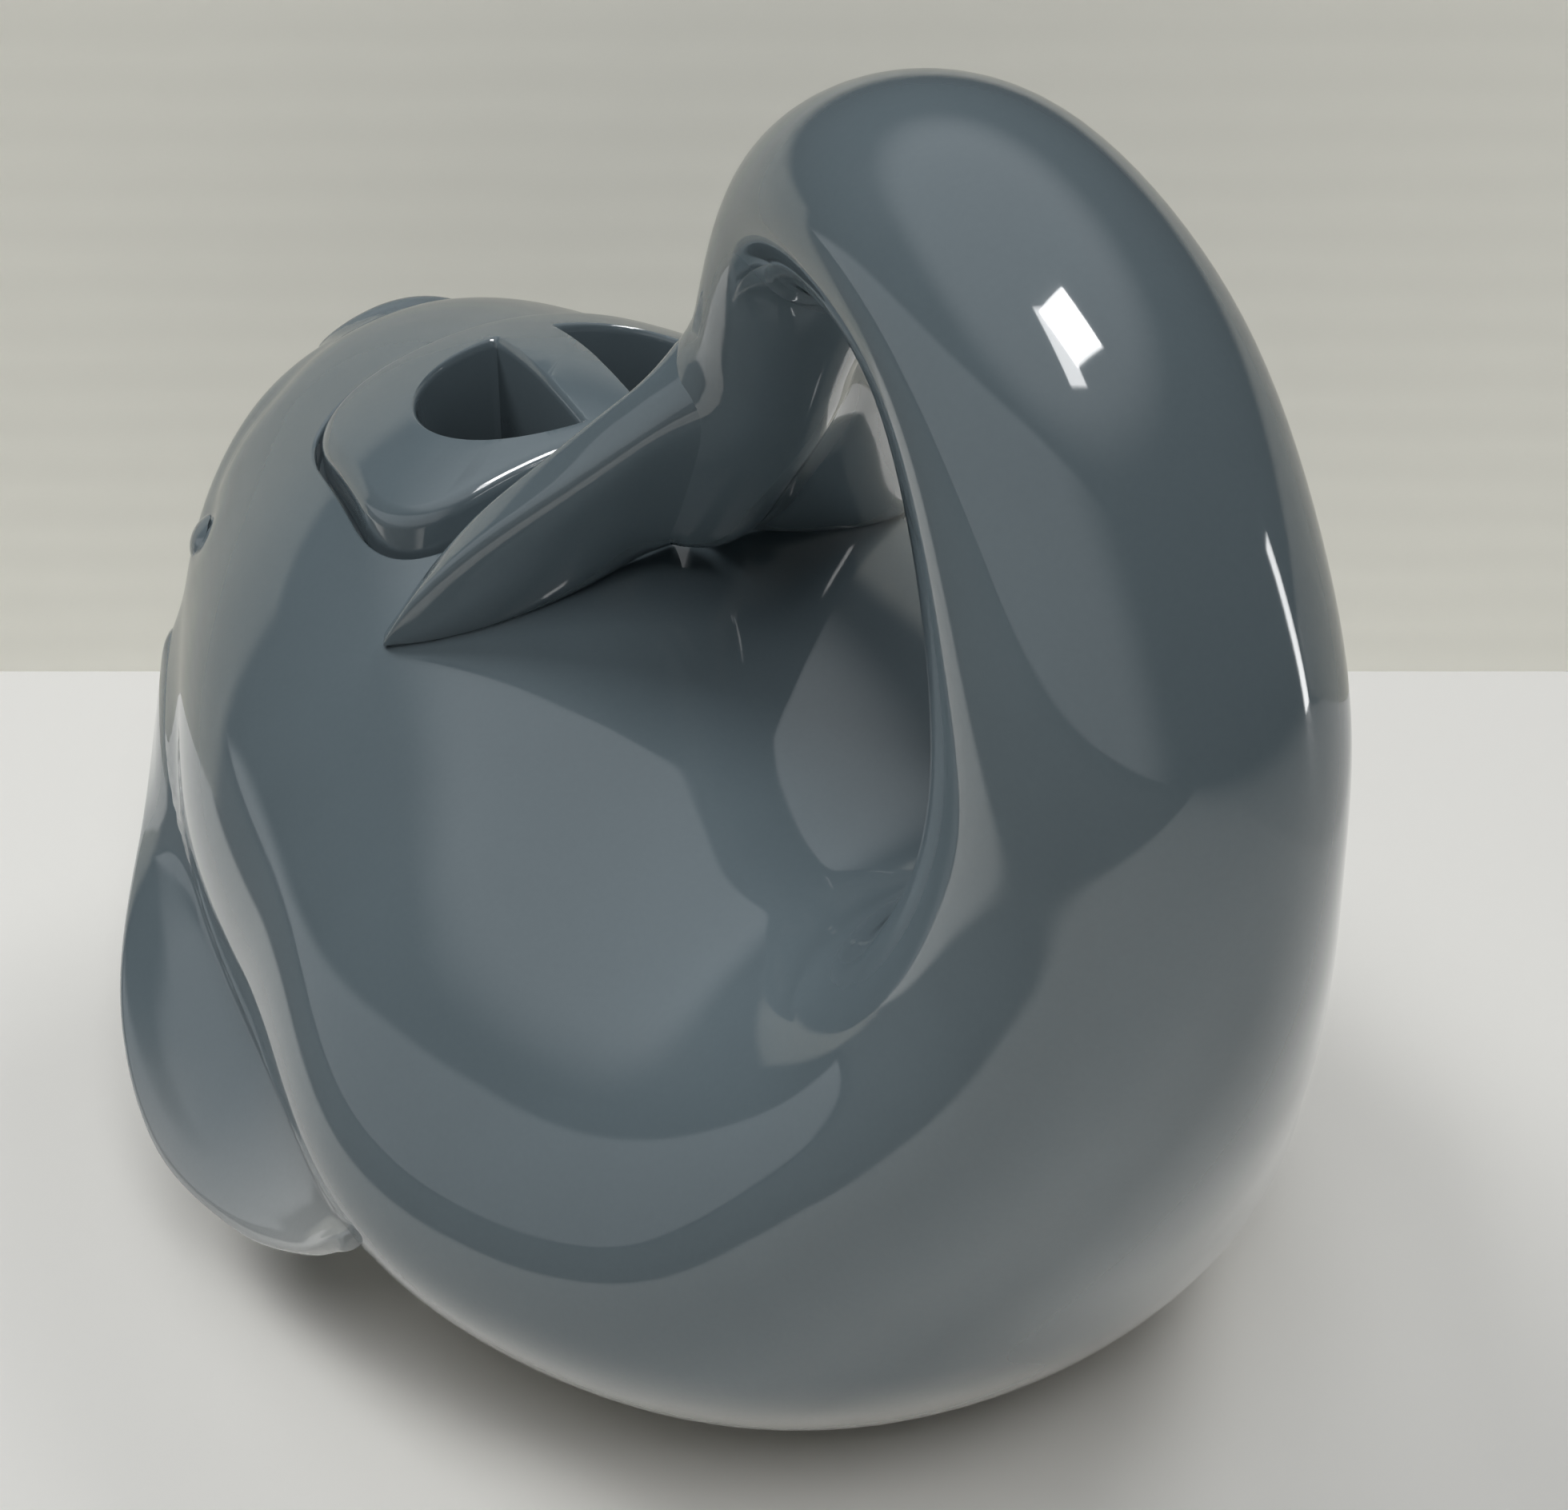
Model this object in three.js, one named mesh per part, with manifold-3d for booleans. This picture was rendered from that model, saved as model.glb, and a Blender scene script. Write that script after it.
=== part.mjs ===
// Whale teapot: a hollow, slip-cast whale whose tail curls over its back as the handle.
// Millimetres, +Z up, standing on z = 0. The whale looks along -Y and its left side is +X.
import * as THREE from "three";
import { mergeVertices } from "three/addons/utils/BufferGeometryUtils.js";
import Module from "manifold-3d";

const wasm = await Module();
wasm.setup();

// Clay
const BODY_WALL = 4.5; // cast wall of the body and of the tail
const CLAY_SEAM = 0.3; // gap between two pieces that are luted together

// Main sizes
const SNOUT = -110.5; // front of the head
const STERN = 110.5; // rear of the tail's root
const HEAD_TOP = 107;
const TAIL_TOP = 174;

// Heights that follow the head, and shares of the tail's rise over its foot on the head
const TAIL_FOOT = HEAD_TOP - 8.5;
const onTail = (share) => TAIL_FOOT + share * (TAIL_TOP - TAIL_FOOT);

// Body and tail, as sections from the snout to the tip of the tail. Each section runs from a
// point on the back to a point on the belly, both [y, z], with its half width and how much
// fuller it is towards the belly.
const BODY_SECTIONS = [
  { back: [SNOUT, HEAD_TOP - 23], belly: [SNOUT, HEAD_TOP - 28], half: 4, full: 0 },
  { back: [SNOUT + 3.5, HEAD_TOP - 14], belly: [SNOUT + 6.5, 58], half: 26, full: 0.05 },
  { back: [SNOUT + 14.5, HEAD_TOP - 6.5], belly: [SNOUT + 20.5, 33], half: 42, full: 0.08 },
  { back: [-76, HEAD_TOP - 2], belly: [-66, 12], half: 54, full: 0.1 },
  { back: [-48, HEAD_TOP], belly: [-35, 3.5], half: 64, full: 0.12 },
  { back: [-18, HEAD_TOP - 8.5], belly: [0, 2.5], half: 68, full: 0.12 },
  { back: [10.5, HEAD_TOP - 18.5], belly: [40, 3], half: 71, full: 0.1 },
  { back: [STERN - 79, 80.5], belly: [STERN - 35.5, 12], half: 58.5, full: 0.05 },
  { back: [STERN - 63.5, 76], belly: [STERN - 18, 40.5], half: 42, full: 0 },
  { back: [STERN - 51, 81], belly: [STERN - 5, 73], half: 29.5, full: 0 },
];
const TAIL_SECTIONS = [
  { back: [STERN - 44, onTail(0.006)], belly: [STERN, onTail(0.033)], half: 22.5, full: 0 },
  { back: [STERN - 44.5, onTail(0.325)], belly: [STERN - 3.5, onTail(0.377)], half: 21.5, full: 0 },
  { back: [STERN - 54, onTail(0.609)], belly: [STERN - 24.5, onTail(0.788)], half: 20, full: 0 },
  { back: [40, onTail(0.642)], belly: [52, TAIL_TOP], half: 18, full: 0 },
  { back: [28, onTail(0.523)], belly: [22, onTail(0.854)], half: 13.5, full: 0 },
  { back: [15, onTail(0.232)], belly: [4, onTail(0.444)], half: 9.8, full: 0 },
  { back: [0, TAIL_FOOT], belly: [-8, onTail(0.06)], half: 6.5, full: 0 },
];
const HOLLOW_START = 0.9; // section numbers where the hollow inside starts and stops
const HOLLOW_END = 12.8;
const BODY_SIDES = 30;
const RINGS_PER_SECTION = 3;
const LID_SIDES = 44;
const WELL_SIDES = 20;
const SPOUT_SIDES = 20;
const SPOUT_STEPS = 6;
const BLADE_SIDES = 14;
const BLADE_STEPS = 12;

// Lid: a rounded four-sided cap on the back of the head, with two finger wells and a bar
const LID_FRONT = -67;
const LID_REAR = -25;
const LID_HALF_FRONT = 32;
const LID_HALF_REAR = 36;
const LID_CORNER = 14;
const LID_RISE_FRONT = 1.5; // how far the cap stands above the head at its front edge
const LID_RISE_REAR = 5; // and at its rear edge
// Top of the cap, from its middle out: share of the plan, drop
const LID_ROLL = [[0.02, 0], [0.45, 0], [0.8, 0], [0.95, 0.2], [0.985, 0.8], [1, 2]];
const LID_WALL = 3.5;
const LID_GAP = 1; // all round, between the cap and the wall of its recess
const SEAT_DEPTH = 4; // of the ledge, below the skin of the head
const SEAT_THICK = 4;
const BAR_HALF = 5; // half width of the pinch bar between the two wells
const WELL_FRONT = -57;
const WELL_REAR = -30;
const WELL_OUT = 22.5; // how far a well reaches from the middle of the lid
const WELL_RIM = HEAD_TOP - 3; // height where a well reaches its full size
const WELL_DEPTH = 22; // below that height
const WELL_TAPER = 0.86; // size of a well at its floor, as a share of its mouth
const WELL_FLOOR = WELL_RIM - WELL_DEPTH;
const WELL_WALL = 2.5;
const MOUTH_CLEARANCE = 0.8; // between the wells and the edge of the filling hole
const MOUTH_CORNER = 12;
const LID_UNDERSIDE = [0.86, 0.45, 0.02]; // shares of the plan, from the inner edge of the cap's rim inwards

// Spout: the whale's mouth, a short flattened tube that rises at the front of the head
const SPOUT_PATH = [[SNOUT + 23.5, 57], [SNOUT + 11.5, 76], [SNOUT + 1.9, HEAD_TOP - 13]];
const SPOUT_HALVES = [[16, 11], [13.5, 9.5], [13, 7]];
const SPOUT_CORNERS = 3.5; // how far the two corners of the lip lie below its middle
const SPOUT_WALL = 2.8;
const STRAINER_THICK = 2.5;
const STRAINER_FIT = 0.8; // room round the strainer in the tapering bore
const STRAINER_HOLE = 3.6;
const STRAINER_RING = 0.62; // where the ring of holes lies, as a share of the plate
const STRAINER_RING_HOLES = 6;

// Flippers: blades from the cheek back along the flank, upper edge on the body, lower edge out
const FIN_UPPER = [
  [48, -82, 60], [56, -62, 54], [62, -38, 45], [65, -13, 37.5], [67, 14, 33], [69, 28, 31.5],
];
const FIN_LOWER = [
  [50, -80, 58], [60, -66, 46.5], [75.8, -42, 29.5], [81, -19, 19], [77, 3, 18.3], [73.3, 19, 24.5],
  [71, 27.5, 32],
];
const FIN_THICK = [4, 5, 5, 5, 4.5, 3.5];
const FIN_HOLLOW = 4; // how far its middle line bends in towards the flank

// Flukes: the two blades at the end of the tail, trailing edge on the back, leading edge up
const FLUKE_TRAILING = [
  [0.5, -10, HEAD_TOP - 11], [8, -9.3, HEAD_TOP - 11.6], [17, -8.7, HEAD_TOP - 14],
  [27.7, -10, HEAD_TOP - 16.5], [35.4, -13.5, HEAD_TOP - 18.6], [41, -18, HEAD_TOP - 20],
];
const FLUKE_LEADING = [
  [7, 12, onTail(0.43)], [15, 9.5, onTail(0.364)], [23.5, 1.5, onTail(0.238)],
  [31, -7, HEAD_TOP], [36.5, -13, HEAD_TOP - 9], [41, -17.5, HEAD_TOP - 18.5],
];
const FLUKE_THICK = [9, 8, 7, 6, 4.5, 2];

// Eyes
const EYE_PLACE = [44.3, SNOUT + 26.5, 75];
const EYE_FACING = [0.85, -0.45, 0.28];
const EYE_RADIUS = 6;
const EYE_SINK = 5; // of its middle, below the skin

// Foot: an oval ring under the belly
const FOOT_CENTRE_Y = 6;
const FOOT_HALF_X = 27;
const FOOT_HALF_Y = 35;
const FOOT_WIDTH = 5;
const FOOT_BLANK = 8; // height of the ring before it is cut to the belly

const GLAZE = { color: 0x66747e, roughness: 0.12, metalness: 0 };
const BARE_CLAY = { color: 0xe6e1d6, roughness: 0.85, metalness: 0 };
const EYE_GLAZE = { color: 0x14161a, roughness: 0.1, metalness: 0 };
const CHAMBER_MIDDLE = HEAD_TOP / 2; // heights where cuts from above end and start
const ABOVE_ALL = 2 * HEAD_TOP;

// Lofts: closed skins over rings of points
function centreOf(ring) {
  const centre = new THREE.Vector3();
  ring.forEach((point) => centre.add(point));
  return centre.divideScalar(ring.length);
}

function signedVolume(points, index) {
  let volume = 0;
  for (let i = 0; i < index.length; i += 3) {
    const cross = new THREE.Vector3().crossVectors(points[index[i + 1]], points[index[i + 2]]);
    volume += points[index[i]].dot(cross) / 6;
  }
  return volume;
}

function closedSkin(points, index) {
  if (signedVolume(points, index) < 0) index.reverse();
  const geometry = new THREE.BufferGeometry().setFromPoints(points);
  geometry.setIndex(index);
  return geometry;
}

function loft(rings) {
  const sides = rings[0].length;
  const points = rings.flat();
  const start = points.length;
  points.push(centreOf(rings[0]), centreOf(rings[rings.length - 1]));
  const index = [];
  for (let ring = 0; ring < rings.length - 1; ring++) {
    for (let side = 0; side < sides; side++) {
      const a = ring * sides + side;
      const b = ring * sides + (side + 1) % sides;
      index.push(a, b, b + sides, a, b + sides, a + sides);
    }
  }
  const last = (rings.length - 1) * sides;
  for (let side = 0; side < sides; side++) {
    const next = (side + 1) % sides;
    index.push(start, next, side, start + 1, last + side, last + next);
  }
  return closedSkin(points, index);
}

function rail(points) {
  return new THREE.CatmullRomCurve3(points.map((p) => new THREE.Vector3(...p)), false, "catmullrom", 0.5);
}

function grown(geometry, distance) {
  const skin = geometry.clone();
  skin.computeVertexNormals();
  const { position, normal } = skin.attributes;
  for (let i = 0; i < position.count; i++) {
    position.setXYZ(
      i,
      position.getX(i) + distance * normal.getX(i),
      position.getY(i) + distance * normal.getY(i),
      position.getZ(i) + distance * normal.getZ(i),
    );
  }
  skin.deleteAttribute("normal");
  return skin;
}

// Solids: joins and cuts
function solid(geometry) {
  const bare = geometry.clone();
  bare.deleteAttribute("normal");
  bare.deleteAttribute("uv");
  const merged = mergeVertices(bare, 1e-4);
  const vertProperties = new Float32Array(merged.attributes.position.array);
  const triVerts = new Uint32Array(merged.index.array);
  return new wasm.Manifold(new wasm.Mesh({ numProp: 3, vertProperties, triVerts }));
}

function geometryOf(manifold) {
  const mesh = manifold.getMesh();
  const geometry = new THREE.BufferGeometry();
  geometry.setAttribute("position", new THREE.BufferAttribute(new Float32Array(mesh.vertProperties), 3));
  geometry.setIndex(new THREE.BufferAttribute(new Uint32Array(mesh.triVerts), 1));
  return geometry;
}

function mirrored(geometry) {
  const copy = geometry.clone().scale(-1, 1, 1);
  const index = Array.from(copy.index.array);
  copy.setIndex(index.reverse());
  return copy;
}

// The whale's skin, between two section numbers
const SECTIONS = [...BODY_SECTIONS, ...TAIL_SECTIONS];
const BACK_RAIL = rail(SECTIONS.map((s) => [0, ...s.back]));
const BELLY_RAIL = rail(SECTIONS.map((s) => [0, ...s.belly]));
const GIRTH = rail(SECTIONS.map((s) => [s.half, s.full, 0]));
const TAIL_ROOT = BODY_SECTIONS.length - 1;
const TAIL_TIP = SECTIONS.length - 1;

function whaleRing(section) {
  const t = section / TAIL_TIP;
  const back = BACK_RAIL.getPoint(t);
  const belly = BELLY_RAIL.getPoint(t);
  const girth = GIRTH.getPoint(t);
  return Array.from({ length: BODY_SIDES }, (_, side) => {
    const angle = (2 * Math.PI * side) / BODY_SIDES;
    const point = back.clone().lerp(belly, (1 - Math.cos(angle)) / 2);
    point.x = girth.x * Math.sin(angle) * (1 - girth.y * Math.cos(angle));
    return point;
  });
}

function whaleSkin(from, to) {
  const steps = Math.ceil((to - from) * RINGS_PER_SECTION);
  const rings = [];
  for (let step = 0; step <= steps; step++) {
    rings.push(whaleRing(from + ((to - from) * step) / steps));
  }
  return loft(rings);
}

// Section number of a plane that lies one clay seam beyond the root of the tail
function seamAfterRoot() {
  const step = 0.1;
  const here = BACK_RAIL.getPoint(TAIL_ROOT / TAIL_TIP);
  const there = BACK_RAIL.getPoint((TAIL_ROOT + step) / TAIL_TIP);
  return TAIL_ROOT + (step * CLAY_SEAM) / here.distanceTo(there);
}

const wholeWhale = whaleSkin(0, TAIL_TIP);
const bodyForm = whaleSkin(0, TAIL_ROOT);
const whaleClearance = solid(grown(wholeWhale, CLAY_SEAM));
const hollow = solid(grown(whaleSkin(HOLLOW_START, HOLLOW_END), -BODY_WALL));

// Height of the head's skin over a point of the plan
const bodyMesh = new THREE.Mesh(bodyForm, new THREE.MeshBasicMaterial({ side: THREE.DoubleSide }));
const plumb = new THREE.Raycaster();
function skinHeight(x, y) {
  plumb.set(new THREE.Vector3(x, y, ABOVE_ALL), new THREE.Vector3(0, 0, -1));
  return plumb.intersectObject(bodyMesh)[0].point.z;
}

// Lid
function roundedPlan(corners, radius, steps) {
  const outline = new THREE.Shape();
  corners.forEach((corner, i) => {
    const before = corners[(i + corners.length - 1) % corners.length];
    const after = corners[(i + 1) % corners.length];
    const from = corner.clone().add(before.clone().sub(corner).setLength(radius));
    const to = corner.clone().add(after.clone().sub(corner).setLength(radius));
    if (i === 0) outline.moveTo(from.x, from.y);
    else outline.lineTo(from.x, from.y);
    outline.quadraticCurveTo(corner.x, corner.y, to.x, to.y);
  });
  outline.closePath();
  return outline.getSpacedPoints(steps).slice(0, -1);
}

function lidPlan(margin) {
  const corners = [
    new THREE.Vector2(-LID_HALF_FRONT - margin, LID_FRONT - margin),
    new THREE.Vector2(LID_HALF_FRONT + margin, LID_FRONT - margin),
    new THREE.Vector2(LID_HALF_REAR + margin, LID_REAR + margin),
    new THREE.Vector2(-LID_HALF_REAR - margin, LID_REAR + margin),
  ];
  return roundedPlan(corners, LID_CORNER + margin, LID_SIDES);
}

// Plan of one finger well: straight beside the bar, round on the outside
function wellPlan(margin) {
  const inner = BAR_HALF - margin;
  const outer = WELL_OUT + margin;
  const front = WELL_FRONT - margin;
  const rear = WELL_REAR + margin;
  const waist = (front + rear) / 2;
  const outline = new THREE.Shape();
  outline.moveTo(inner, front);
  outline.lineTo(inner, rear);
  outline.bezierCurveTo(outer - (outer - inner) / 3, rear, outer, waist + (rear - waist) / 2, outer, waist);
  outline.bezierCurveTo(outer, waist + (front - waist) / 2, outer - (outer - inner) / 3, front, inner, front);
  return outline.getSpacedPoints(WELL_SIDES).slice(0, -1);
}

function lidRise(y) {
  const share = (y - LID_FRONT) / (LID_REAR - LID_FRONT);
  return THREE.MathUtils.lerp(LID_RISE_FRONT, LID_RISE_REAR, THREE.MathUtils.clamp(share, 0, 1));
}

function planCentre(plan) {
  const centre = new THREE.Vector2();
  plan.forEach((p) => centre.add(p));
  return centre.divideScalar(plan.length);
}

// A body swept round a plan: each profile step is a share of the plan and a height rule
function swept(plan, profile) {
  const centre = planCentre(plan);
  return loft(profile.map(([share, height]) => plan.map((p) => {
    const at = p.clone().sub(centre).multiplyScalar(share).add(centre);
    return new THREE.Vector3(at.x, at.y, height(at));
  })));
}

const overHead = (offset) => (at) => skinHeight(at.x, at.y) + lidRise(at.y) + offset;
const onHead = (offset) => (at) => skinHeight(at.x, at.y) + offset;
const level = (z) => () => z;

function prism(plan) {
  return solid(swept(plan, [[1, level(CHAMBER_MIDDLE)], [1, level(ABOVE_ALL)]]));
}

function lidCap() {
  const underSeat = -SEAT_DEPTH + CLAY_SEAM;
  const cap = solid(swept(lidPlan(0), [
    ...LID_ROLL.map(([share, drop]) => [share, overHead(-drop)]),
    [1, onHead(underSeat)],
    [LID_UNDERSIDE[0], onHead(underSeat)],
    ...LID_UNDERSIDE.map((share) => [share, overHead(-LID_WALL)]),
  ]));
  const well = wellTube(0, WELL_FLOOR);
  return geometryOf(cap.subtract(solid(well)).subtract(solid(mirrored(well))));
}

// A tapering tube in the plan of a well, from its floor up through the cap
function wellTube(margin, floor) {
  return swept(wellPlan(margin), [
    [WELL_TAPER, level(floor)], [1, level(WELL_RIM)], [1, level(ABOVE_ALL)],
  ]);
}

function fingerWell() {
  const underCap = overHead(-LID_WALL - CLAY_SEAM);
  const room = solid(swept(lidPlan(0), [
    [LID_UNDERSIDE[0], level(0)],
    ...LID_UNDERSIDE.map((share) => [share, underCap]),
  ]));
  const outside = solid(wellTube(WELL_WALL, WELL_FLOOR - WELL_WALL));
  return geometryOf(outside.intersect(room).subtract(solid(wellTube(0, WELL_FLOOR))));
}

// The filling hole, just wide enough for the two wells to hang through it
function mouthPlan() {
  const around = WELL_WALL + MOUTH_CLEARANCE;
  const side = WELL_OUT + around;
  const corners = [
    new THREE.Vector2(-side, WELL_FRONT - around),
    new THREE.Vector2(side, WELL_FRONT - around),
    new THREE.Vector2(side, WELL_REAR + around),
    new THREE.Vector2(-side, WELL_REAR + around),
  ];
  return roundedPlan(corners, MOUTH_CORNER, LID_SIDES);
}

// Spout
const spoutRail = rail(SPOUT_PATH.map((p) => [0, ...p]));
const spoutHalves = rail(SPOUT_HALVES.map((h) => [...h, 0]));

function spoutRing(t, inset, shift) {
  const along = spoutRail.getTangent(t);
  const across = new THREE.Vector3(0, along.z, -along.y);
  const centre = spoutRail.getPoint(t).addScaledVector(along, shift);
  const halves = spoutHalves.getPoint(t);
  return Array.from({ length: SPOUT_SIDES }, (_, side) => {
    const angle = (2 * Math.PI * side) / SPOUT_SIDES;
    return centre.clone()
      .addScaledVector(across, (halves.y - inset) * Math.sin(angle))
      .addScaledVector(along, -SPOUT_CORNERS * t * t * Math.cos(angle) ** 2)
      .add(new THREE.Vector3((halves.x - inset) * Math.cos(angle), 0, 0));
  });
}

function spoutTube(inset, overrun) {
  const rings = [spoutRing(0, inset, -overrun)];
  for (let step = 1; step < SPOUT_STEPS; step++) rings.push(spoutRing(step / SPOUT_STEPS, inset, 0));
  rings.push(spoutRing(1, inset, overrun));
  return loft(rings);
}

function spout() {
  return geometryOf(solid(spoutTube(0, 0)).subtract(solid(spoutTube(SPOUT_WALL, 2 * SPOUT_WALL))));
}

// Pierced plate set in the inner end of the spout
function strainer() {
  const [halfX, halfY] = SPOUT_HALVES[0].map((half) => half - SPOUT_WALL - STRAINER_FIT);
  const plate = new THREE.Shape();
  plate.absellipse(0, 0, halfX, halfY, 0, 2 * Math.PI);
  const places = [[0, 0]];
  for (let i = 0; i < STRAINER_RING_HOLES; i++) {
    const angle = (2 * Math.PI * i) / STRAINER_RING_HOLES;
    places.push([STRAINER_RING * halfX * Math.cos(angle), STRAINER_RING * halfY * Math.sin(angle)]);
  }
  for (const [x, y] of places) {
    const hole = new THREE.Path();
    hole.absellipse(x, y, STRAINER_HOLE / 2, STRAINER_HOLE / 2, 0, 2 * Math.PI);
    plate.holes.push(hole);
  }
  const depth = STRAINER_THICK;
  return new THREE.ExtrudeGeometry(plate, { depth, bevelEnabled: false, curveSegments: 8 });
}

// Blades: flippers and flukes, flat or hollowed between their two edges
function blade(edgeA, edgeB, thicknesses, hollow = 0) {
  const railA = rail(edgeA);
  const railB = rail(edgeB);
  const thickness = rail(thicknesses.map((t) => [t, 0, 0]));
  const rings = [];
  for (let step = 0; step <= BLADE_STEPS; step++) {
    const t = step / BLADE_STEPS;
    const a = railA.getPoint(t);
    const b = railB.getPoint(t);
    const along = railA.getTangent(t).add(railB.getTangent(t));
    const chord = a.clone().sub(b);
    const face = new THREE.Vector3().crossVectors(chord, along).normalize();
    const half = thickness.getPoint(t).x / 2;
    const bend = hollow * Math.sin(Math.PI * t);
    rings.push(Array.from({ length: BLADE_SIDES }, (_, side) => {
      const angle = (2 * Math.PI * side) / BLADE_SIDES;
      const rise = Math.sin(angle);
      return b.clone()
        .addScaledVector(chord, (1 + Math.cos(angle)) / 2)
        .addScaledVector(face, half * rise + bend * rise * rise);
    }));
  }
  return loft(rings);
}

function lutedOn(geometry) {
  return geometryOf(solid(geometry).subtract(whaleClearance));
}

function eye() {
  const outward = new THREE.Vector3(...EYE_FACING).setLength(EYE_SINK);
  const middle = new THREE.Vector3(...EYE_PLACE).sub(outward);
  const bead = new THREE.SphereGeometry(EYE_RADIUS, 16, 12);
  bead.translate(middle.x, middle.y, middle.z);
  return lutedOn(bead);
}

function footRing() {
  const ring = new THREE.Shape();
  ring.absellipse(0, FOOT_CENTRE_Y, FOOT_HALF_X, FOOT_HALF_Y, 0, 2 * Math.PI);
  const inside = new THREE.Path();
  inside.absellipse(0, FOOT_CENTRE_Y, FOOT_HALF_X - FOOT_WIDTH, FOOT_HALF_Y - FOOT_WIDTH, 0, 2 * Math.PI);
  ring.holes.push(inside);
  const blank = { depth: FOOT_BLANK, bevelEnabled: false, curveSegments: 24 };
  return lutedOn(new THREE.ExtrudeGeometry(ring, blank));
}

// Body: the hollow whale, with the recess and ledge of the lid, the filling hole and the spout's hole
function potBody() {
  const seat = solid(grown(bodyForm, -SEAT_DEPTH));
  const underSeat = solid(grown(bodyForm, -SEAT_DEPTH - SEAT_THICK));
  const ledge = prism(lidPlan(LID_GAP + SEAT_THICK)).intersect(seat).subtract(underSeat);
  const recess = prism(lidPlan(LID_GAP)).subtract(seat);
  return geometryOf(
    solid(bodyForm)
      .subtract(hollow)
      .add(ledge)
      .subtract(recess)
      .subtract(prism(mouthPlan()))
      .subtract(solid(grown(spoutTube(0, SPOUT_WALL), CLAY_SEAM))),
  );
}

const teapot = new THREE.Group();
function place(name, geometry, look) {
  const mesh = new THREE.Mesh(geometry, new THREE.MeshStandardMaterial(look));
  mesh.name = name;
  teapot.add(mesh);
  return mesh;
}

function placePair(name, geometry, look) {
  place(`${name}_left`, geometry, look);
  place(`${name}_right`, mirrored(geometry), look);
}

place("pot_body", potBody(), GLAZE);
place("tail_handle", geometryOf(solid(whaleSkin(seamAfterRoot(), TAIL_TIP)).subtract(hollow)), GLAZE);
placePair("fluke", lutedOn(blade(FLUKE_TRAILING, FLUKE_LEADING, FLUKE_THICK)), GLAZE);
placePair("fin", lutedOn(blade(FIN_UPPER, FIN_LOWER, FIN_THICK, FIN_HOLLOW)), GLAZE);
placePair("eye", eye(), EYE_GLAZE);
place("spout", spout(), GLAZE);
const pierced = place("strainer", strainer(), GLAZE);
pierced.position.set(0, ...SPOUT_PATH[0]).addScaledVector(spoutRail.getTangent(0), CLAY_SEAM);
pierced.quaternion.setFromUnitVectors(new THREE.Vector3(0, 0, 1), spoutRail.getTangent(0));
place("foot_ring", footRing(), BARE_CLAY);
place("lid_cap", lidCap(), GLAZE);
placePair("finger_well", fingerWell(), GLAZE);

// The origin is under the middle of the whole whale
const extent = new THREE.Box3().setFromObject(teapot);
teapot.position.y = -(extent.min.y + extent.max.y) / 2;

export default teapot;
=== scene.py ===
"""Whale teapot: its glazed skins, clay foot, and the pale table that it stands on."""
from math import ceil, cos, pi, radians, sin

import bmesh
import bpy
import numpy as np
from bpy.props import FloatProperty, FloatVectorProperty, PointerProperty
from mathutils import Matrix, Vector
from mathutils.bvhtree import BVHTree


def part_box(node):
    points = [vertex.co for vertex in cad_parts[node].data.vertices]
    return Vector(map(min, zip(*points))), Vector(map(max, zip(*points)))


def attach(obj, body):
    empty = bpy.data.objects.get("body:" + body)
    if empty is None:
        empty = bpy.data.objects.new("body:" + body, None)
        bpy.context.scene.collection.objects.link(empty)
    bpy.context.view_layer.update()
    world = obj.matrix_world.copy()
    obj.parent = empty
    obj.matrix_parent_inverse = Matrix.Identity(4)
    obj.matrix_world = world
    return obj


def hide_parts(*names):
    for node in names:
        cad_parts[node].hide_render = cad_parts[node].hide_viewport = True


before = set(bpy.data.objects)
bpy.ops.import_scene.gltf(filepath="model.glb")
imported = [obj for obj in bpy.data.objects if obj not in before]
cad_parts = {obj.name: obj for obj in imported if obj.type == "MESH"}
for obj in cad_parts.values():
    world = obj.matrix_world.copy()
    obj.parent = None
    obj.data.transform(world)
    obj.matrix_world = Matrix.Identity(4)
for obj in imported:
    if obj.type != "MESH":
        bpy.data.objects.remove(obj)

bl_info = {
    "name": "Whale Teapot",
    "version": (1, 0, 0),
    "blender": (4, 5, 0),
    "location": "View3D > Sidebar > Teapot",
    "description": "Models a glazed whale teapot around its packed solids",
    "category": "Add Mesh",
}

MM = 0.001
POT = "pot"
LID = "lid"

# Body and tail, from the snout to the tip of the tail, in millimetres: the back's point and
# the belly's point as (y, z), the half width, and how much fuller the section is below
WHALE_SECTIONS = (
    ((-110.5, 84), (-110.5, 79), 4, 0),
    ((-107, 93), (-104, 58), 26, 0.05),
    ((-96, 100.5), (-90, 33), 42, 0.08),
    ((-76, 105), (-66, 12), 54, 0.1),
    ((-48, 107), (-35, 3.5), 64, 0.12),
    ((-18, 98.5), (0, 2.5), 68, 0.12),
    ((10.5, 88.5), (40, 3), 71, 0.1),
    ((31.5, 80.5), (75, 12), 58.5, 0.05),
    ((47, 76), (92.5, 40.5), 42, 0),
    ((59.5, 81), (105.5, 73), 29.5, 0),
    ((66.5, 99), (110.5, 101), 22.5, 0),
    ((66, 123), (107, 127), 21.5, 0),
    ((56.5, 144.5), (86, 158), 20, 0),
    ((40, 147), (52, 174), 18, 0),
    ((28, 138), (22, 163), 13.5, 0),
    ((15, 116), (4, 132), 9.8, 0),
    ((0, 98.5), (-8, 103), 6.5, 0),
)
TAIL_TIP = len(WHALE_SECTIONS) - 1
SKIN_SIDES = 48
RINGS_PER_SECTION = 3
SADDLE_BOX = ((-24, 38, 70), (24, 72, 104))  # where the back turns up into the tail
SADDLE_PASSES = 20
HOLLOW = (0.9, 12.8)  # the sections between which the whale is hollow
HOLLOW_SIDES = 40
FOOT_CENTRE_Y = 6
FOOT_HALVES = (27, 35)
FOOT_WIDTH = 5
FOOT_SIDES = 96
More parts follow.
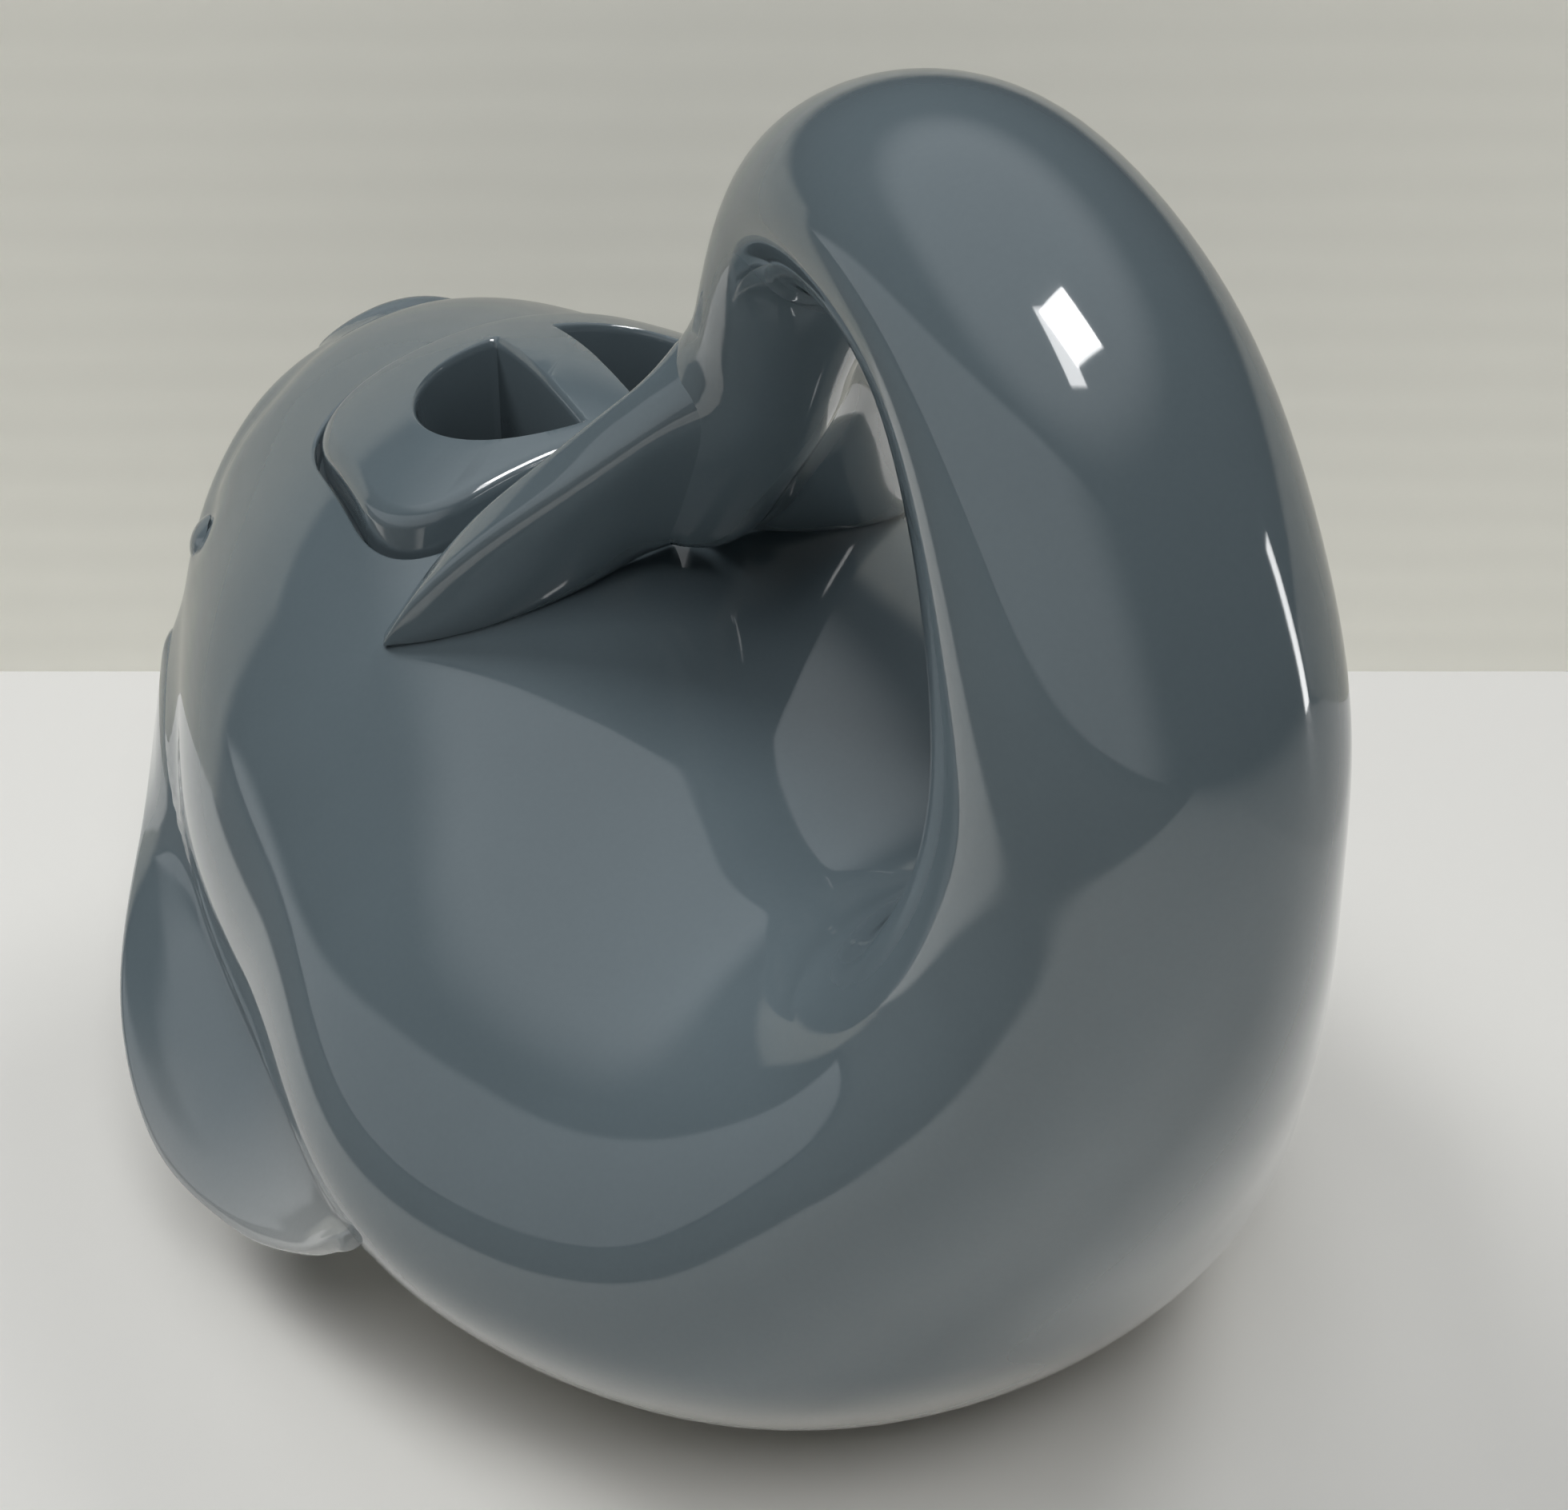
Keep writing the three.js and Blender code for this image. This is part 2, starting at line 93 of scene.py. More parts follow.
# The foot's section from its outer side round its flat face to its inner side, as (margin, height)
FOOT_PROFILE = (
    (0, 5.2), (0, 1.4), (-0.35, 0.45), (-1.2, 0), (-2.5, 0),
    (1.2 - FOOT_WIDTH, 0), (0.35 - FOOT_WIDTH, 0.45), (-FOOT_WIDTH, 1.4), (-FOOT_WIDTH, 5.2),
)
# Edges of the left fluke and of the left flipper, from root to tip, and how thick each is along them
FLUKE_TRAILING = (
    (0.5, -10, 96), (8, -9.3, 95.4), (17, -8.7, 93), (27.7, -10, 90.5), (35.4, -13.5, 88.4),
    (41, -18, 87),
)
FLUKE_LEADING = (
    (7, 12, 131), (15, 9.5, 126), (23.5, 1.5, 116.5), (31, -7, 107), (36.5, -13, 98), (41, -17.5, 88.5),
)
FLUKE_THICK = (9, 8, 7, 6, 4.5, 2)
FIN_UPPER = (
    (48, -82, 61), (56.5, -62, 56), (62, -38, 46), (64.5, -13, 37.5), (66, 14, 33), (68, 28, 31.5),
)
FIN_LOWER = (
    (50, -80, 57), (60, -66, 46), (75.8, -42, 29.5), (80.5, -19, 19), (77, 3, 18.3), (73.3, 19, 24.5),
    (71, 27.5, 32),
)
FIN_THICK = (4, 4.5, 4.5, 4.5, 4, 3)
FIN_CAMBER = 1.5
# The spout's middle line as (y, z), its half width and half depth, and how far the last rings of its
# rounded lip and of its bore are inset and moved on
SPOUT_PATH = ((-87, 57), (-99, 76), (-108.6, 94))
SPOUT_HALVES = ((16, 11), (13.5, 9.5), (13, 7))
SPOUT_SIDES = 40
SPOUT_SLANT = 3.5  # how far the sides of the opening are set back
SPOUT_WALL = 2.8
LIP_INSETS, LIP_SHIFTS = (0.25, 0.9, 1.7), (0.5, 0.95, 1.1)
BORE_INSETS, BORE_SHIFTS = (2.5, 1.9, 0.8), (0.2, 0.8, 3)
EYE_PLACE = (44.3, -84, 75)
EYE_FACING = (0.85, -0.45, 0.28)
EYE_RADIUS = 5.9
EYE_SUNK = 5
EYE_CUT = 3.6
MOUTH_LINE = (
    (44, -81, 79), (41, -87, 82), (35, -90.5, 86.5), (27, -91.5, 92), (18, -96, 95.5), (9, -98, 98),
    (0, -99.5, 98.6),
)
MOUTH_SPREAD = 4.2
# How far the glaze's fillets reach: at the flukes, round the spout, and at a flipper's front and rear
FLUKE_FILLET = 7
SPOUT_FILLET = 5
FIN_FILLETS = (9, 0.9)

foot_low, foot_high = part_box("foot_ring")
SHIFT = (foot_low.y + foot_high.y) / 2 - FOOT_CENTRE_Y * MM


def place(point):
    """A point in millimetres about the whale's own middle, in the frame's metres."""
    return Vector((point[0] * MM, point[1] * MM + SHIFT, point[2] * MM))


def spline(points, steps):
    """A smooth curve through the points, read at point numbers such as 2.5."""
    knots = np.array(points, float)
    padded = np.vstack([2 * knots[0] - knots[1], knots, 2 * knots[-1] - knots[-2]])
    found = []
    for step in steps:
        i = min(int(step), len(knots) - 2)
        w = step - i
        before, start, end, after = padded[i : i + 4]
        leave, arrive = (end - before) / 2, (after - start) / 2
        bend = 3 * (end - start) - 2 * leave - arrive
        twist = 2 * (start - end) + leave + arrive
        found.append(start + leave * w + bend * w**2 + twist * w**3)
    return found


def full_turn(sides):
    return [2 * pi * side / sides for side in range(sides)]


def whale_rings(first, last, sides, per_section):
    count = ceil((last - first) * per_section)
    steps = [first + (last - first) * i / count for i in range(count + 1)]
    backs = spline([s[0] for s in WHALE_SECTIONS], steps)
    bellies = spline([s[1] for s in WHALE_SECTIONS], steps)
    girths = spline([s[2:] for s in WHALE_SECTIONS], steps)
    rings = []
    for back, belly, (half, full) in zip(backs, bellies, girths):
        ring = []
        for angle in full_turn(sides):
            y, z = back + (belly - back) * (1 - cos(angle)) / 2
            ring.append(place((half * sin(angle) * (1 - full * cos(angle)), y, z)))
        rings.append(ring)
    return rings


def mode(name):
    bpy.ops.object.mode_set(mode=name)


def face_outwards():
    """Turns all faces of the edited mesh outwards, and ends the editing."""
    bpy.ops.mesh.select_all(action="SELECT")
    bpy.ops.mesh.normals_make_consistent(inside=False)
    mode("OBJECT")


def deselect_all():
    if bpy.context.object and bpy.context.object.mode != "OBJECT":
        mode("OBJECT")
    bpy.ops.object.select_all(action="DESELECT")


def only(piece):
    deselect_all()
    piece.select_set(True)
    bpy.context.view_layer.objects.active = piece


def apply_modifier(piece, kind, **settings):
    only(piece)
    modifier = piece.modifiers.new(kind.title(), kind)
    for name, value in settings.items():
        setattr(modifier, name, value)
    bpy.ops.object.modifier_apply(modifier=modifier.name)


def subdivide(piece, levels):
    apply_modifier(piece, "SUBSURF", levels=levels, render_levels=levels)


def ring_skin(name, rings, ends="poles"):
    """A skin drawn by extruding one ring from place to place, its ends closed at poles or joined."""
    deselect_all()
    bpy.ops.mesh.primitive_circle_add(vertices=len(rings[0]), radius=10 * MM, fill_type="NOTHING")
    piece = bpy.context.object
    piece.name = name
    mode("EDIT")
    bpy.ops.mesh.select_mode(type="VERT")
    mesh = bmesh.from_edit_mesh(piece.data)
    side = mesh.verts.layers.int.new("side")
    for number, vertex in enumerate(mesh.verts):
        vertex[side] = number
        vertex.co = rings[0][number]
    bmesh.update_edit_mesh(piece.data)
    for ring in rings[1:]:
        bpy.ops.mesh.extrude_region()
        mesh = bmesh.from_edit_mesh(piece.data)
        side = mesh.verts.layers.int["side"]
        for vertex in mesh.verts:
            if vertex.select:
                vertex.co = ring[vertex[side]]
        bmesh.update_edit_mesh(piece.data)
    if ends == "poles":
        bpy.ops.mesh.extrude_region()
        bpy.ops.mesh.merge(type="CENTER")
        bpy.ops.mesh.select_all(action="DESELECT")
        bpy.ops.mesh.select_non_manifold()
        bpy.ops.mesh.extrude_region()
        bpy.ops.mesh.merge(type="CENTER")
    else:
        bpy.ops.mesh.select_all(action="DESELECT")
        bpy.ops.mesh.select_non_manifold()
        bpy.ops.mesh.bridge_edge_loops()
    face_outwards()
    return piece


def combine(piece, other, operation):
    """Joins, cuts or intersects with another closed piece, which is used up."""
    apply_modifier(piece, "BOOLEAN", operation=operation, object=other, solver="EXACT")
    bpy.data.objects.remove(other)


def soften(piece, angle=38):
    """Smooth shading with crisp edges past the angle, weighted so that narrow faces don't show."""
    only(piece)
    bpy.ops.object.shade_smooth_by_angle(angle=radians(angle))
    apply_modifier(piece, "WEIGHTED_NORMAL", keep_sharp=True, weight=80)


def mirror_copy(piece, name):
    """The same piece on the whale's other side, with a mesh of its own."""
    only(piece)
    bpy.ops.object.duplicate()
    twin = bpy.context.object
    twin.name = name
    for vertex in twin.data.vertices:
        vertex.co.x = -vertex.co.x
    mode("EDIT")
    face_outwards()
    return twin


def eased(share):
    """The share held between 0 and 1, with a soft start and end."""
    share = min(1, max(0, share))
    return share * share * (3 - 2 * share)


def glaze_or_shade_share(piece, name, rule):
    """Keeps the rule's share of thin glaze or of painted shade at each point, for the glaze to read."""
    kept = piece.data.attributes.new(name, "FLOAT", "POINT")
    for vertex in piece.data.vertices:
        kept.data[vertex.index].value = eased(rule(vertex.co))


def in_wells(point):
    """How deep a point is in the lid's finger wells, as a share of 9 mm, for the painted shade there."""
    x, y = abs(point.x) / MM, (point.y - SHIFT) / MM
    if not (BAR_HALF - 1.5 < x < WELL_OUT + 1.5 and WELL_FRONT - 1.5 < y < WELL_REAR + 1.5):
        return 0
    return (WELL_RIM + 1 - point.z / MM) / 9 if point.z / MM > WELL_FLOOR - 0.5 else 0


def toward_tip(point):
    """How near a point is to the flipper's rear tip, where the glaze is thin."""
    return ((point.y - SHIFT) / MM + 12) / 34


def finish_piece(piece, body, slot, material, *nodes):
    piece.data.name = piece.name
    piece.data.materials.clear()
    piece.data.materials.append(material)
    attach(piece, body)
    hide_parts(*nodes)


def finish_pair(left, node, slot, material):
    """Mirrors a left piece of the pot and finishes both, in place of node's left and right one."""
    right = mirror_copy(left, left.name.replace("left", "right"))
    finish_piece(left, POT, slot, material, f"{node}_left")
    finish_piece(right, POT, slot, material, f"{node}_right")


# Plans of the lid, its wells and the filling hole
def rounded_plan(corners, radius, count):
    """A polygon with rounded corners, as evenly spaced points."""
    dense = []
    for i, corner in enumerate(corners):
        before = (corners[i - 1] - corner).normalized() * radius + corner
        after = (corners[(i + 1) % len(corners)] - corner).normalized() * radius + corner
        for j in range(25):
            t = j / 24
            dense.append(before * (1 - t) ** 2 + corner * 2 * t * (1 - t) + after * t**2)
    return even_points(dense, count)


def four_corners(half_front, front, half_rear, rear):
    return [
        Vector((-half_front, front)), Vector((half_front, front)),
        Vector((half_rear, rear)), Vector((-half_rear, rear)),
    ]


def even_points(dense, count):
    lengths = [0]
    for i in range(len(dense)):
        lengths.append(lengths[-1] + (dense[(i + 1) % len(dense)] - dense[i]).length)
    found = []
    i = 0
    for k in range(count):
        along = lengths[-1] * k / count
        while lengths[i + 1] < along:
            i += 1
        t = (along - lengths[i]) / (lengths[i + 1] - lengths[i])
        found.append(dense[i].lerp(dense[(i + 1) % len(dense)], t))
    return found


def lid_plan(margin):
    s = settings().lid
    corners = four_corners(
        s.half_front / MM + margin, s.front / MM - margin,
        s.half_rear / MM + margin, s.rear / MM + margin,
    )
    return rounded_plan(corners, s.corner / MM + margin, 160)


WELL_FRONT = -57
WELL_REAR = -30
WELL_OUT = 22.5
BAR_HALF = 5
WELL_FLOOR = 82
WELL_RIM = 104
WELL_TAPER = 0.86
WELL_WALL = 2.5
MOUTH_CLEARANCE = 0.8
MOUTH_CORNER = 12
LID_RISE = (1.5, 5)
LID_WALL = 3.5
SEAT_DEPTH = 4
CAP_ROUND = 2
# Rounded edges as (margin, height), in millimetres: the recess at the skin and in the corner of its
# ledge, the filling hole at the ledge, the cap's underside out to its hollow, a well at its floor
# and at its dished rim, and the floor of the cup round a well
RECESS_LIP = ((0.9, 0.15), (0.55, -0.03), (0.3, -0.2), (0.12, -0.45), (0.03, -0.8), (0, -1.2))
RECESS_CORNER = ((0, 0.9), (-0.25, 0.35), (-0.9, 0))
HOLE_LIP = ((-0.8, 0.1), (-0.35, -0.25), (-0.08, -0.8), (0, -1.6))
CAP_UNDERSIDE = ((0, 1), (0.4, 0.3), (1.1, 0), (3.6, 0), (4.2, 0.6))
CAP_HOLLOW = 4.6
WELL_FOOT = ((-2, 0), (-0.7, 0.7), (-0.1, 2))
WELL_LIP = ((0, -1.6), (0.08, -1), (0.3, -0.5), (0.65, -0.15), (1.3, 0.25), (1.3, 6))
CUP_FOOT = ((-1.5, 0), (-0.4, 0.6), (0, 1.8))


def well_plan(margin):
    inner = BAR_HALF - margin
    outer = WELL_OUT + margin
    front = WELL_FRONT - margin
    rear = WELL_REAR + margin
    waist = (front + rear) / 2
    pull = (outer - inner) / 3
    halves = (
        ((inner, rear), (outer - pull, rear), (outer, (waist + rear) / 2), (outer, waist)),
        ((outer, waist), (outer, (waist + front) / 2), (outer - pull, front), (inner, front)),
    )
    dense = [Vector((inner, front + (rear - front) * i / 24)) for i in range(1, 24)]
    for curve in halves:
        a, b, c, d = (Vector(corner) for corner in curve)
        for j in range(40):
            t = j / 39
            u = 1 - t
            dense.append(a * u**3 + b * 3 * u * u * t + c * 3 * u * t * t + d * t**3)
    return even_points(dense, 96)


def plan_centre(plan):
    return sum(plan, Vector((0, 0))) / len(plan)


def scaled(plan, share):
    centre = plan_centre(plan)
    return [centre + (p - centre) * share for p in plan]


def inset(plan, distance):
    """The plan with each point moved inwards along its own normal, in millimetres."""
    count = len(plan)
    found = []
    for i, p in enumerate(plan):
        along = (plan[(i + 1) % count] - plan[i - 1]).normalized()
        found.append(p + Vector((along.y, -along.x)) * -distance * turn_of(plan))
    return found


def turn_of(plan):
    area = sum(plan[i - 1].x * p.y - p.x * plan[i - 1].y for i, p in enumerate(plan))
    return 1 if area > 0 else -1


def lift(plan, height):
    """The plan's points in space, at the height that the rule gives over each."""
    return [place((p.x, p.y, height(p))) for p in plan]


def plan_skin(name, steps):
    """A closed skin through plans at their heights, each end drawn in before it closes."""
    (first, low), (last, high) = steps[0], steps[-1]
    steps = [(scaled(first, 0.3), low), *steps, (scaled(last, 0.3), high)]
    return ring_skin(name, [lift(plan, height) for plan, height in steps])


def anywhere(point):
    return True


def surface_tree(piece, wanted=anywhere):
    """A piece's surface, or the wanted part of it, to measure from."""
    faces = [face.vertices[:] for face in piece.data.polygons if wanted(face.center)]
    return BVHTree.FromPolygons([v.co.copy() for v in piece.data.vertices], faces)


class Head:
    """Heights of the head's skin, read off the outer skin before it is cut."""

    tree = None

    @classmethod
    def measure(cls, piece):
        cls.tree = surface_tree(piece)

    @classmethod
    def skin(cls, offset):
        def height(p):
            hit = cls.tree.ray_cast(place((p.x, p.y, 200)), Vector((0, 0, -1)))[0]
            return hit.z / MM + offset

        return height

    @classmethod
    def cap(cls, offset):
        def height(p):
            s = settings().lid
            share = min(1, max(0, (p.y - s.front / MM) / ((s.rear - s.front) / MM)))
            rise = LID_RISE[0] + (LID_RISE[1] - LID_RISE[0]) * share
            return cls.skin(offset)(p) + rise

        return height


def level(z):
    return lambda p: z


# Sizes and colours that a user may change
def size_setting(name, description, default):
    return FloatProperty(name=name, description=description, default=default * MM, unit="LENGTH")


def colour_setting(name, description, default):
    return FloatVectorProperty(name=name, description=description, default=default, subtype="COLOR")


class TeapotBodySettings(bpy.types.PropertyGroup):
    wall: size_setting("Wall", "Thickness of the cast wall", 4.5)
    crease: size_setting("Mouth Crease", "Depth of the line round the mouth", 0.8)
    seat: size_setting("Seat Depth", "Depth of the lid's ledge below the skin", SEAT_DEPTH)


class TeapotLidSettings(bpy.types.PropertyGroup):
    front: size_setting("Front", "Front edge of the lid", -67)
    rear: size_setting("Rear", "Rear edge of the lid", -25)
    half_front: size_setting("Front Half Width", "Half width at the front edge", 32)
    half_rear: size_setting("Rear Half Width", "Half width at the rear edge", 36)
    corner: size_setting("Corner", "Rounding of the corners", 14)
    gap: size_setting("Gap", "Gap all round the lid", 1)


class TeapotGlazeSettings(bpy.types.PropertyGroup):
    deep: colour_setting("Glaze", "Blue-grey of the back", (0.12, 0.155, 0.175))
    pale: colour_setting("Belly", "Off-white under the belly", (0.62, 0.61, 0.58))
    eye: colour_setting("Eye", "Glaze of the eyes", (0.13, 0.165, 0.185))
    clay: colour_setting("Clay", "Bare clay of the foot", (0.68, 0.63, 0.54))


class TeapotStageSettings(bpy.types.PropertyGroup):
    table: colour_setting("Table", "Pale table", (0.80, 0.795, 0.765))
    wall: colour_setting("Wall", "Cream wall behind", (0.78, 0.77, 0.70))
    light: FloatProperty(name="Light", description="Level of the room's soft light", default=0.02, min=0)


class TeapotSettings(bpy.types.PropertyGroup):
    body: PointerProperty(type=TeapotBodySettings)
    lid: PointerProperty(type=TeapotLidSettings)
    glaze: PointerProperty(type=TeapotGlazeSettings)
    stage: PointerProperty(type=TeapotStageSettings)


def settings():
    return bpy.context.scene.whale_teapot


# Materials
PEEL = 0.004  # heights of the glaze's fine peel and of the cast skin's slow swells, in millimetres
SWELL = 0.45
WELL_SHADE_TONE = 0.25  # painted shade: how dark the glaze is made at the bottom of the finger wells
BODY_FADE = (0.021, 0.043)  # heights between which the glaze fades to the pale belly, in metres
FLIPPER_FADE = (0, 0.042)
NO_FADE = (-1, -0.9)


def feed(made, inputs):
    """Links each input of a node to another node's output, or sets it to a plain value."""
    for name, term in dict(inputs).items():
        if isinstance(term, bpy.types.NodeSocket):
            made.id_data.links.new(term, made.inputs[name])
        else:
            made.inputs[name].default_value = term


def node(tree, kind, place_at, inputs=(), **values):
    made = tree.nodes.new(kind)
    made.location = place_at
    for name, value in values.items():
        setattr(made, name, value)
    feed(made, inputs)
    return made


def maths(tree, place_at, operation, *terms):
    return node(tree, "ShaderNodeMath", place_at, enumerate(terms), operation=operation).outputs[0]


def along_line(tree, place_at, where, direction):
    """How far the place is along the direction."""
    inputs = {0: where, 1: direction}
    made = node(tree, "ShaderNodeVectorMath", place_at, inputs, operation="DOT_PRODUCT")
    return made.outputs["Value"]


def noise(tree, place_at, where, scale, detail=2):
    inputs = {"Vector": where, "Scale": scale, "Detail": detail}
    return node(tree, "ShaderNodeTexNoise", place_at, inputs).outputs["Fac"]


def ranged(tree, place_at, value, source=(0, 1), target=(0, 1), shape="LINEAR"):
    """Maps the source's range on the target's and holds the value at both ends."""
    inputs = {
        "Value": value, "From Min": source[0], "From Max": source[1],
        "To Min": target[0], "To Max": target[1],
    }
    made = node(tree, "ShaderNodeMapRange", place_at, inputs, interpolation_type=shape)
    return made.outputs["Result"]


def mixed(tree, place_at, share, first, second):
    """The first colour, with the share of the second."""
    inputs = {"Factor": share, "A": first, "B": second}
    return node(tree, "ShaderNodeMix", place_at, inputs, data_type="RGBA").outputs["Result"]


def toned(colour, level):
    return (*[min(1, part * level) for part in colour], 1)


def new_material(name):
    material = bpy.data.materials.new(name)
    material.use_nodes = True
    return material, material.node_tree, material.node_tree.nodes["Principled BSDF"]


def glaze_group():
    """Colour, roughness and surface height of a sprayed glaze that fades to pale below."""
    tree = bpy.data.node_groups.get("Sprayed Glaze")
    if tree:
        return tree
    tree = bpy.data.node_groups.new("Sprayed Glaze", "ShaderNodeTree")
    for name, kind, default in (
        ("Deep", "NodeSocketColor", (0.1, 0.1, 0.1, 1)),
        ("Pale", "NodeSocketColor", (0.6, 0.6, 0.6, 1)),
        ("Fade Low", "NodeSocketFloat", 0.004),
        ("Fade High", "NodeSocketFloat", 0.03),
        ("Thin Edges", "NodeSocketFloat", 0.35),
    ):
        socket = tree.interface.new_socket(name=name, in_out="INPUT", socket_type=kind)
        socket.default_value = default
    for name, kind in (
        ("Color", "NodeSocketColor"), ("Roughness", "NodeSocketFloat"), ("Height", "NodeSocketFloat")
    ):
        tree.interface.new_socket(name=name, in_out="OUTPUT", socket_type=kind)
    start = node(tree, "NodeGroupInput", (-1200, 0)).outputs
    where = node(tree, "ShaderNodeTexCoord", (-1400, -300)).outputs["Object"]
    # The spray ends low on the body, along a line that wanders a little
    axes = node(tree, "ShaderNodeSeparateXYZ", (-1000, -100), {0: where}).outputs
    drift = noise(tree, (-1200, -400), where, 22, 3)
    sway = maths(tree, (-900, -400), "MULTIPLY_ADD", drift, 0.012, axes["Z"])
    fade_from = start["Fade Low"], start["Fade High"]
    fade = ranged(tree, (-600, -200), sway, fade_from, shape="SMOOTHERSTEP")
    spray = mixed(tree, (-300, 0), fade, start["Pale"], start["Deep"])
    thin = node(tree, "ShaderNodeAttribute", (-600, 300), attribute_name="thin_glaze")
    thin_share = maths(tree, (-300, 300), "MULTIPLY", thin.outputs["Fac"], start["Thin Edges"])
    worn = mixed(tree, (100, 100), thin_share, spray, start["Pale"])
    # Its tone varies in clouds and fine grain
    cloud = noise(tree, (-900, -700), where, 45, 4)
    cloud_level = ranged(tree, (-600, -700), cloud, target=(0.93, 1.07))
    grain = noise(tree, (-900, -1000), where, 1400)
    grain_level = ranged(tree, (-600, -1000), grain, target=(0.97, 1.03))
    both = maths(tree, (-300, -800), "MULTIPLY", cloud_level, grain_level)
    # A few of the cells hold an iron speck
    cells = node(tree, "ShaderNodeTexVoronoi", (-900, -1300), {"Vector": where, "Scale": 75}).outputs
    spot = ranged(tree, (-600, -1300), cells["Distance"], (0.018, 0.036))
    rare = node(tree, "ShaderNodeSeparateColor", (-700, -1500), {0: cells["Color"]}).outputs[0]
    chosen = maths(tree, (-500, -1500), "LESS_THAN", rare, 0.93)
    speck = maths(tree, (-300, -1300), "MAXIMUM", spot, chosen)
    speck_level = ranged(tree, (-100, -1300), speck, target=(0.45, 1))
    specked = maths(tree, (0, -800), "MULTIPLY", both, speck_level)
    # Painted shade: the colour darkens towards the floors of the finger wells
    well_shade_attribute = node(tree, "ShaderNodeAttribute", (0, -600), attribute_name="well_shade")
    well_shade_level = ranged(tree, (150, -600), well_shade_attribute.outputs["Fac"], target=(1, WELL_SHADE_TONE))
    tone = maths(tree, (300, -700), "MULTIPLY", specked, well_shade_level)
    colour = node(tree, "ShaderNodeVectorMath", (400, 0), {0: worn, "Scale": tone}, operation="SCALE")
    peel = noise(tree, (0, -1100), where, 160, 1)
    swell = noise(tree, (0, -1400), where, 30, 1.5)
    swell_height = maths(tree, (250, -1400), "MULTIPLY", swell, SWELL)
    node(tree, "NodeGroupOutput", (900, 0), {
        "Color": colour.outputs[0],
        "Roughness": ranged(tree, (400, -300), cloud, target=(0.035, 0.09)),
        "Height": maths(tree, (500, -1200), "MULTIPLY_ADD", peel, PEEL, swell_height),
    })
    return tree


def glazed(name, deep, pale, low, high, edges=0.35):
    """A glossy glaze: the colours are sprayed by height, the gloss is the shader's own."""
    material, tree, shader = new_material(name)
    spray = node(tree, "ShaderNodeGroup", (-500, 0), {
        "Deep": (*deep, 1), "Pale": (*pale, 1), "Fade Low": low, "Fade High": high, "Thin Edges": edges,
    }, node_tree=glaze_group()).outputs
    bump = node(tree, "ShaderNodeBump", (-250, -300), {
        "Strength": 1, "Distance": MM, "Height": spray["Height"],
    })
    feed(shader, {
        "Base Color": spray["Color"], "Roughness": spray["Roughness"], "Normal": bump.outputs["Normal"],
        "IOR": 1.55, "Coat Weight": 0.7, "Coat Roughness": 0.02,
    })
    return material


def bare_clay():
    """Matt, slightly sandy clay of the foot."""
    material, tree, shader = new_material("Bare Clay")
    where = node(tree, "ShaderNodeTexCoord", (-900, 0)).outputs["Object"]
    sand = noise(tree, (-700, 0), where, 700, 6)
    clay = settings().glaze.clay
    tone = mixed(tree, (-400, 0), sand, toned(clay, 0.8), toned(clay, 1))
    bump = node(tree, "ShaderNodeBump", (-250, -300), {
        "Strength": 0.4, "Distance": 0.3 * MM, "Height": sand,
    })
    feed(shader, {"Base Color": tone, "Normal": bump.outputs["Normal"], "Roughness": 0.85})
    return material


def glaze_of_body():
    found = bpy.data.materials.get("Whale Glaze")
    if found:
        return found
    g = settings().glaze
    return glazed("Whale Glaze", g.deep, g.pale, *BODY_FADE)


# Forms, and the glaze that fills the corners between them
def whale_form(name="whale_form"):
    form = ring_skin(name, whale_rings(0, TAIL_TIP, SKIN_SIDES, RINGS_PER_SECTION))
    subdivide(form, 2)
    smooth_saddle(form)
    return form


def smooth_saddle(form):
    """Evens the skin where the back turns up into the tail and the rings crowd together."""
    low, high = (place(corner) for corner in SADDLE_BOX)
    only(form)
    mode("EDIT")
    bpy.ops.mesh.select_mode(type="VERT")
    bpy.ops.mesh.select_all(action="DESELECT")
    mode("OBJECT")
    for vertex in form.data.vertices:
        vertex.select = all(low[i] < vertex.co[i] < high[i] for i in range(3))
    mode("EDIT")
    bpy.ops.mesh.vertices_smooth(factor=0.5, repeat=SADDLE_PASSES)
    mode("OBJECT")


def fluke_form(name="fluke_form"):
    rings = blade_rings(FLUKE_TRAILING, FLUKE_LEADING, FLUKE_THICK, 20, 28, 0.25, 0.5)
    form = ring_skin(name, rings)
    subdivide(form, 2)
    return form


def fin_form(name="fin_form"):
    rings = blade_rings(FIN_UPPER, FIN_LOWER, FIN_THICK, 26, 36, 0, 0.6, FIN_CAMBER)
    form = ring_skin(name, rings)
    subdivide(form, 2)
    return form


TENTHS = [i / 10 for i in range(11)]


def spout_form():
    return ring_skin("spout_form", spout_rings(
        [*TENTHS, 1, 1, 1], [*[0] * 11, *LIP_INSETS], [*[0] * 11, *LIP_SHIFTS]
    ))


def in_stock(point):
    """Whether a point is on the last of the tail, which comes down between the flukes."""
    y = (point.y - SHIFT) / MM
    return point.z / MM > 97.5 and -14 < y < 48


def near_snout(point):
    return (point.y - SHIFT) / MM < -60


# Plain forms, each with the part of it that others meet
FORMS = {
    "stock": (whale_form, in_stock),
    "whale": (whale_form, anywhere),
    "fluke": (fluke_form, anywhere),
    "fin": (fin_form, anywhere),
    "spout": (spout_form, anywhere),
}
ONE_SIDED = ("fluke", "fin")
FORM_TREES = {}  # surfaces of the forms made so far


def form_tree(name):
    """The surface of a plain form, for measuring how near another form is."""
    if name not in FORM_TREES:
        build, wanted = FORMS[name]
        form = build()
        FORM_TREES[name] = surface_tree(form, wanted)
        bpy.data.objects.remove(form)
    return FORM_TREES[name]


